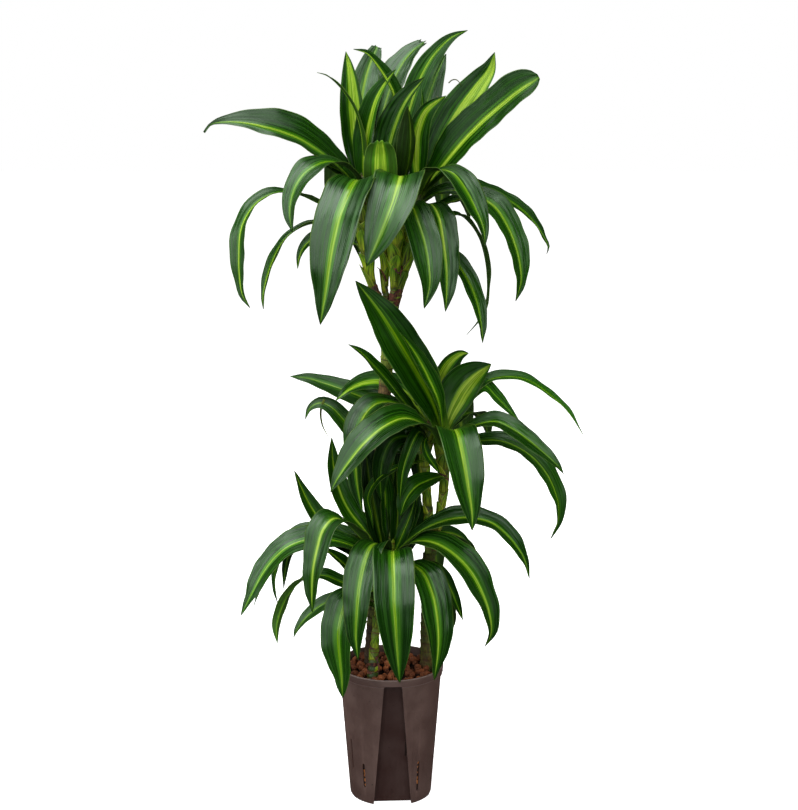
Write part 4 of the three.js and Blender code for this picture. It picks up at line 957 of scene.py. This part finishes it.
def build_sheaths(name, stem, heights, length, flare, material, node, rng):
    """Clasping leaf bases up a stem: each wraps it below and leans away above."""
    line, _ = smooth_line(STEMS[stem], 120)
    turn = rng.uniform(0, 360)
    v = np.linspace(0, 1, 9)[:, None]
    u = np.linspace(-1, 1, 11)
    shells = []
    for height in heights:
        turn += GOLDEN_ANGLE + rng.uniform(-18, 18)
        size = length * rng.uniform(0.75, 1.2)
        z = np.clip(height + size * v, None, line[-1, 2])
        x, y, radius = (np.interp(z, line[:, 2], line[:, k]) for k in (0, 1, 3))
        around = np.radians(turn + u * (118 * (1 - v ** 1.8) + 3))
        lean = flare * rng.uniform(0.6, 1.3)
        out = radius + 0.35 + lean * v ** 1.7 + SHEATH_THICKNESS * (1 - np.abs(u)) * (1 - v)
        ragged = 1.2 * rng.random() * np.sin(7 * u + turn) * (1 - v)
        def grid(r):
            return np.stack([x + r * np.cos(around), y + r * np.sin(around),
                             height + size * v * (1 + 0 * u) + ragged], -1)
        shells.append((grid(out), grid(out - SHEATH_THICKNESS), (rng.random(), 0, 0, 1)))
    return shells_object(name, u, shells, [material], node)


def build_scrap(name, points, width, material, node):
    """A curled strip through the given (x, y, z) points."""
    line, _ = smooth_line(points, 16)
    along = unit(np.gradient(line, axis=0))
    side = unit(np.cross(along, [0.3, -1, 0.2]))
    face = np.cross(side, along)
    s = np.linspace(0, 1, 17)[:, None, None]
    across = np.linspace(-1, 1, 5)
    u = across[None, :, None]
    half = width / 2 * (1 - 0.85 * s ** 2)
    outer = line[:, None, :] + side[:, None, :] * u * half + face[:, None, :] * 0.25 * u ** 2
    inner = outer - face[:, None, :] * SHEATH_THICKNESS
    return shells_object(name, across, [(outer, inner, (0.5, 0, 0, 1))], [material], node)


# ---- clay ----


def wall_radius(z):
    return POT["base"] + (POT["wall_top"] - POT["base"]) * z / UNDER_BAND


def channel_half(z):
    return CHANNEL["bottom"] + (CHANNEL["top_half"] - CHANNEL["bottom"]) * z / CHANNEL["top"]


def channel_floor(z):
    """Distance from the pot's axis to the recess floor at height z."""
    return CHANNEL["floor_at_base"] + z * math.tan(math.radians(CHANNEL["lean"]))


def topmost_granules(rng, stems):
    """(x, y, z, size) of the granules heaped on top, clear of the stems and the recess."""
    spots = []
    reach = wall_radius(CLAY["top"]) - POT["wall"] - 1.5
    for _ in range(CLAY["tries"]):
        if len(spots) == CLAY["count"]:
            break
        size = rng.uniform(*CLAY["sizes"])
        spread = (reach - size) * math.sqrt(rng.random())
        angle = rng.uniform(0, 2 * math.pi)
        x, y = spread * math.cos(angle), spread * math.sin(angle)
        layer = CLAY["deep" if rng.random() < CLAY["deep_share"] else "high"]
        z = CLAY["top"] + layer + rng.uniform(*CLAY["uneven"])
        if any(math.hypot(x - c[0], y - c[1]) < CLAY["stem_clearance"] + size * 0.8 for c in stems):
            continue
        if (z - size < CHANNEL["top"] + 3 and y < -channel_floor(CHANNEL["top"]) + size + 3
                and abs(x) < CHANNEL["top_half"] + size + 3):
            continue
        if all(math.dist((x, y, z), p[:3]) >= CLAY["apart"] * (size + p[3]) for p in spots):
            spots.append((x, y, z, size))
    return spots


def slot_granules(rng):
    """(x, y, z, size) of a column of granules behind each slot."""
    spots = []
    for angle, low, high in SLOTS:
        z = low - 4
        while z < high + 6:
            size = rng.uniform(*CLAY["slot_sizes"])
            turn = math.radians(angle - 90 + rng.uniform(-3, 3))
            room = CLAY["bulge"] * size + 0.4
            r = wall_radius(z) - POT["wall"] - room
            x, y = r * math.cos(turn), r * math.sin(turn)
            beside = abs(x) - channel_half(z) - POT["wall"]
            behind = channel_floor(z) - POT["wall"] + y
            if max(beside, behind) > room:
                spots.append((x, y, z, size))
            z += size * 1.6
    return spots


def add_core(bm, look):
    """A core that fills the pot behind the granules, coloured with full painted shade."""
    rings = []
    low, high = POT["floor"] + 0.4, CLAY["top"] - 8
    for z, out in ((low, 0), (low, 1), (high, 1), (high, 0)):
        ring = []
        for j in range(CLAY["core_sides"]):
            a = 2 * math.pi * j / CLAY["core_sides"]
            r = (wall_radius(z) - POT["wall"] - CLAY["core_gap"]) * out
            x, y = r * math.cos(a), r * math.sin(a)
            limit = -(channel_floor(z) - POT["wall"] - 0.6)
            if y < limit and abs(x) < channel_half(z) + POT["wall"] + 5:
                y = limit
            vert = bm.verts.new(Vector((x, y, z)) * MM)
            # full painted shade on the core
            vert[look] = (0.2, 1, 0, 1)
            ring.append(vert)
        rings.append(ring)
    bridge(bm, rings)
    bmesh.ops.remove_doubles(bm, verts=rings[0] + rings[-1], dist=1e-6)


def build_clay(material, rng):
    """Granules heaped over a core that fills the pot, and a column of them behind each slot."""
    pot_turn = Matrix.Rotation(math.radians(POT_TURN), 4, "Z")
    stems = [pot_turn.inverted() @ Vector(STEMS[name][1][:3])
             for name in ("cane_tall", "cane_middle", "low")]
    bm = bmesh.new()
    look = bm.verts.layers.float_color.new("look")
    for x, y, z, size in topmost_granules(rng, stems) + slot_granules(rng):
        turn = Matrix.Rotation(rng.uniform(0, 6.28), 4, Vector(
            (rng.uniform(-1, 1), rng.uniform(-1, 1), rng.uniform(-1, 1))).normalized())
        shape = Matrix.Diagonal((1, rng.uniform(*CLAY["wide"]), rng.uniform(*CLAY["thick"]), 1))
        grow = Matrix.Scale(size * MM, 4)
        place = Matrix.Translation(Vector((x, y, z)) * MM) @ turn @ shape @ grow
        made = bmesh.ops.create_icosphere(bm, subdivisions=3, radius=1, matrix=Matrix())["verts"]
        tone, damp_and_shade = rng.random(), rng.choice((0, 0, 0.2))
        # Painted shade: granules lower in the top of the heap are darker, the deeper the darker.
        if z > CLAY["top"] - 12:
            damp_and_shade = min(1, max(damp_and_shade, (CLAY["top"] + 1 - z) / 6))
        knobs = [(Vector((rng.gauss(0, 1), rng.gauss(0, 1), rng.gauss(0, 1))).normalized(),
                  rng.uniform(-0.10, 0.12), rng.uniform(2.5, 6)) for _ in range(CLAY["knobs"])]
        for vert in made:
            direction = vert.co.normalized()
            bulge = 1 + sum(a * math.exp(-k * (direction - d).length_squared) for d, a, k in knobs)
            vert.co = place @ (direction * bulge)
            # The second value carries painted shade; the third marks the granules behind the slots for
            # painted light.
            vert[look] = (tone, damp_and_shade, float(z < CLAY["top"] - 40), 1)
    add_core(bm, look)
    bm.transform(pot_turn)
    granules = add_object("granules", mesh_from(bm, "clay_granules"), [material])
    return declare(granules, "clay_granules")


# ---- pot ----


def lathe_object(name, profile, sides=192):
    """A solid of revolution from an (r, z) profile in mm that starts and ends on the axis."""
    bm = bmesh.new()
    rings = []
    for r, z in profile:
        turns = [2 * math.pi * j / sides for j in range(sides if r else 1)]
        rings.append([bm.verts.new((r * MM * math.cos(a), r * MM * math.sin(a), z * MM))
                      for a in turns])
    bridge(bm, rings[1:-1])
    for pole, ring in ((rings[0][0], rings[1][::-1]), (rings[-1][0], rings[-2])):
        for a, b in zip(ring, ring[1:] + ring[:1]):
            bm.faces.new((a, b, pole))
    return add_object(name, mesh_from(bm, name), [], smooth=False)


def loft_object(name, rings):
    """A closed solid through rings of (x, y, z) points in mm, with flat ends."""
    bm = bmesh.new()
    rings = [[bm.verts.new(Vector(point) * MM) for point in ring] for ring in rings]
    bridge(bm, rings)
    bm.faces.new(rings[0])
    bm.faces.new(list(reversed(rings[-1])))
    bmesh.ops.recalc_face_normals(bm, faces=bm.faces)
    return add_object(name, mesh_from(bm, name), [], smooth=False)


def prism_object(name, outline, y_front, y_back, lean=0.0):
    """The (x, z) outline extruded along Y, with its back leaning by an angle."""
    return loft_object(name, [[(x, y_front, z) for x, z in outline],
                              [(x, y_back - z * math.tan(lean), z) for x, z in outline]])


def arc(x, z, radius, start, sweep, steps):
    """Points of an arc round (x, z), with its angles in degrees."""
    turns = [math.radians(start + sweep * step / steps) for step in range(steps + 1)]
    return [(x + radius * math.cos(a), z + radius * math.sin(a)) for a in turns]


def channel_object(name, grow):
    """The gauge recess, grown by the wall's thickness for the inside of the wall."""
    low = -4
    half_low = channel_half(low) + grow
    half_top, top = CHANNEL["top_half"] + grow, CHANNEL["top"] + grow
    corner = CHANNEL["corner"] + grow
    outline = [(-half_low, low), (half_low, low)]
    outline += arc(half_top - corner, top - corner, corner, 0, 90, 8)
    outline += arc(corner - half_top, top - corner, corner, 90, 90, 8)
    return prism_object(name, outline, OUTSIDE, grow - CHANNEL["floor_at_base"],
                        math.radians(CHANNEL["lean"]))


def panel_object(name, side, inward):
    """The thin skin that is taken off one side of the wall."""
    low, top = PANEL["bottom"], PANEL["top"]
    depth, out_to, columns = PANEL["depth"], PANEL["out_to"], PANEL["columns"]
    rings = []
    for j in range(columns + 1):
        turn = math.radians(-PANEL["half_angle"] + 2 * PANEL["half_angle"] * j / columns)
        ring = []
        for z, out in ((low, -depth), (low, out_to), (top, out_to), (top, -depth)):
            r = wall_radius(z) + out - inward
            ring.append((side * r * math.cos(turn), r * math.sin(turn), z))
        rings.append(ring)
    return loft_object(name, rings)


def slot_object(angle, low, high):
    half = SLOT_WIDTH / 2
    outline = arc(0, high - half, half, 0, 180, 6) + arc(0, low + half, half, 180, 180, 6)
    made = prism_object("slot", outline, *SLOT_REACH)
    made.data.transform(Matrix.Rotation(math.radians(angle), 4, "Z"))
    return made


def apply_modifiers(piece):
    graph = bpy.context.evaluated_depsgraph_get()
    mesh = bpy.data.meshes.new_from_object(piece.evaluated_get(graph))
    piece.modifiers.clear()
    piece.data = mesh


def cut(piece, cutters):
    """Take the cutters out of the piece, and remove them."""
    for cutter in cutters:
        made = piece.modifiers.new("cut", "BOOLEAN")
        made.object = cutter
        made.operation = "DIFFERENCE"
        made.solver = "EXACT"
    apply_modifiers(piece)
    for cutter in cutters:
        bpy.data.objects.remove(cutter, do_unlink=True)


def build_pot(material):
    under = UNDER_BAND
    wall, rim, height = POT["wall"], POT["rim"], POT["height"]
    form = lathe_object("pot_shell", [
        (0, 0), (POT["base"] - 1.5, 0), (POT["base"] - 0.5, 0.4), (wall_radius(1.6), 1.6),
        (wall_radius(under), under), (rim - 0.75, under + 0.5), (rim - 0.55, under + 1.2),
        (rim, height - 1.2), (rim - 0.2, height - 0.4), (rim - 0.7, height), (0, height),
    ])
    cut(form, [channel_object("channel", 0), panel_object("panel_r", 1, 0),
               panel_object("panel_l", -1, 0)])
    cavity = lathe_object("cavity", [
        (0, POT["floor"]), (wall_radius(POT["floor"]) - wall, POT["floor"]),
        (wall_radius(height + 2) - wall, height + 2), (0, height + 2),
    ])
    cut(cavity, [channel_object("channel_back", wall), panel_object("panel_r", 1, wall),
                 panel_object("panel_l", -1, wall)])
    cut(form, [cavity])
    cut(form, [slot_object(*row) for row in SLOTS])
    bevel = form.modifiers.new("soft_edges", "BEVEL")
    bevel.width = EDGES["width"] * MM
    bevel.segments = 2
    bevel.limit_method = "ANGLE"
    bevel.angle_limit = math.radians(EDGES["round_from"])
    apply_modifiers(form)
    form.data.transform(Matrix.Rotation(math.radians(POT_TURN), 4, "Z"))
    form.data.materials.append(material)
    form.data.shade_smooth()
    form.data.set_sharp_from_angle(angle=math.radians(EDGES["sharp_from"]))
    return declare(form, "pot")


# ---- assembly ----


def build_plant():
    glossy = [leaf_material("leaf_upper_face", under=False, shine=0.5),
              leaf_material("leaf_under_face", under=True, shine=0.4)]
    matt = [leaf_material("inner_upper_face", under=False, shine=0.14),
            leaf_material("inner_under_face", under=True, shine=0.14)]
    shoot = shoot_material()
    brown = bark_material("cane_bark_brown", srgb(62, 46, 22), srgb(122, 98, 52),
                          srgb(42, 26, 14), young=0.61)
    green = bark_material("cane_bark_green", srgb(34, 46, 8), srgb(92, 100, 26),
                          srgb(72, 40, 22))
    for head, rows in LEAVES.items():
        for row in rows:
            build_leaf(head, row, matt if row[0] in MATT else glossy, random.Random(head + row[0]))
        for name in SHOOTS[head]:
            build_stem("shoot_" + name, name, shoot, head, random.Random(name),
                       LOW_RINGS if name == "low" else SHOOT_RINGS)
    dressing = {"sheaths": sheath_material(), "dry": dry_material()}
    for kind, rows in SHEATHS.items():
        for stem, low, high, every, length, flare in rows:
            build_sheaths(kind + "_" + stem, stem, np.arange(low, high, every), length, flare,
                          dressing[kind], HEAD_OF[stem], random.Random(kind + stem))
    for name, head, width, points in SCRAPS:
        build_scrap("scrap_" + name, points, width,
                    shoot if name in GREEN_SCRAPS else dressing["dry"], "head_" + head)
    for name, bark in (("tall", brown), ("middle", green)):
        build_stem("bark_" + name, "cane_" + name, bark, "cane_" + name,
                   random.Random(name), BARK_RINGS, sides=36)
    build_clay(clay_material(), random.Random("clay"))
    build_pot(pot_material())


def place_in_scene(name, data, location, rotation):
    made = bpy.data.objects.new(name, data)
    bpy.context.collection.objects.link(made)
    made.location = location
    made.rotation_euler = rotation
    return made


def build_floor():
    """The floor lies a little below the pot, and glossy faces don't reflect it."""
    bm = bmesh.new()
    bmesh.ops.create_grid(bm, x_segments=8, y_segments=8, size=FLOOR["size"])
    floor = add_object("floor", mesh_from(bm, "floor"), [floor_material()])
    floor.location.z = -FLOOR["drop"]
    floor.visible_glossy = False


def build_world():
    """A faint light from all round, and plain white where the camera sees past the floor."""
    world = bpy.data.worlds.new("studio")
    world.use_nodes = True
    tree = world.node_tree
    light, backdrop = tree.nodes["Background"], tree.nodes.new("ShaderNodeBackground")
    for node, strength in ((light, AMBIENT), (backdrop, 1.0)):
        node.inputs["Strength"].default_value = strength
        node.inputs["Color"].default_value = (1, 1, 1, 1)
    seen_directly = tree.nodes.new("ShaderNodeLightPath")
    choose = tree.nodes.new("ShaderNodeMixShader")
    tree.links.new(seen_directly.outputs["Is Camera Ray"], choose.inputs[0])
    tree.links.new(light.outputs[0], choose.inputs[1])
    tree.links.new(backdrop.outputs[0], choose.inputs[2])
    tree.links.new(choose.outputs[0], tree.nodes["World Output"].inputs[0])
    bpy.context.scene.world = world
    bpy.context.scene.view_settings.view_transform = "Standard"


def build_lights():
    sun = bpy.data.lights.new("sun_soft", "SUN")
    sun.energy = SUN["power"]
    sun.angle = math.radians(SUN["spread"])
    place_in_scene("sun_soft", sun, (0, 0, 0), [math.radians(a) for a in SUN["turn"]])
    for name, place, aim, size, power, shines in LAMPS:
        light = bpy.data.lights.new(name, "AREA")
        light.shape = "RECTANGLE"
        light.size, light.size_y = size
        light.energy = power
        direction = Vector(aim) - Vector(place)
        lamp = place_in_scene(name, light, place, direction.to_track_quat("-Z", "Y").to_euler())
        lamp.visible_glossy = shines


def build_camera():
    camera = bpy.data.cameras.new("camera")
    camera.sensor_fit = "VERTICAL"
    camera.sensor_height = SENSOR
    camera.lens = FOCAL_PX / PICTURE_HEIGHT * SENSOR
    camera.clip_end = 50
    bpy.context.scene.camera = place_in_scene(
        "camera", camera, Vector(EYE) * MM, (math.radians(90 - EYE_TILT), 0, 0))


build_plant()
build_floor()
build_world()
build_lights()
build_camera()
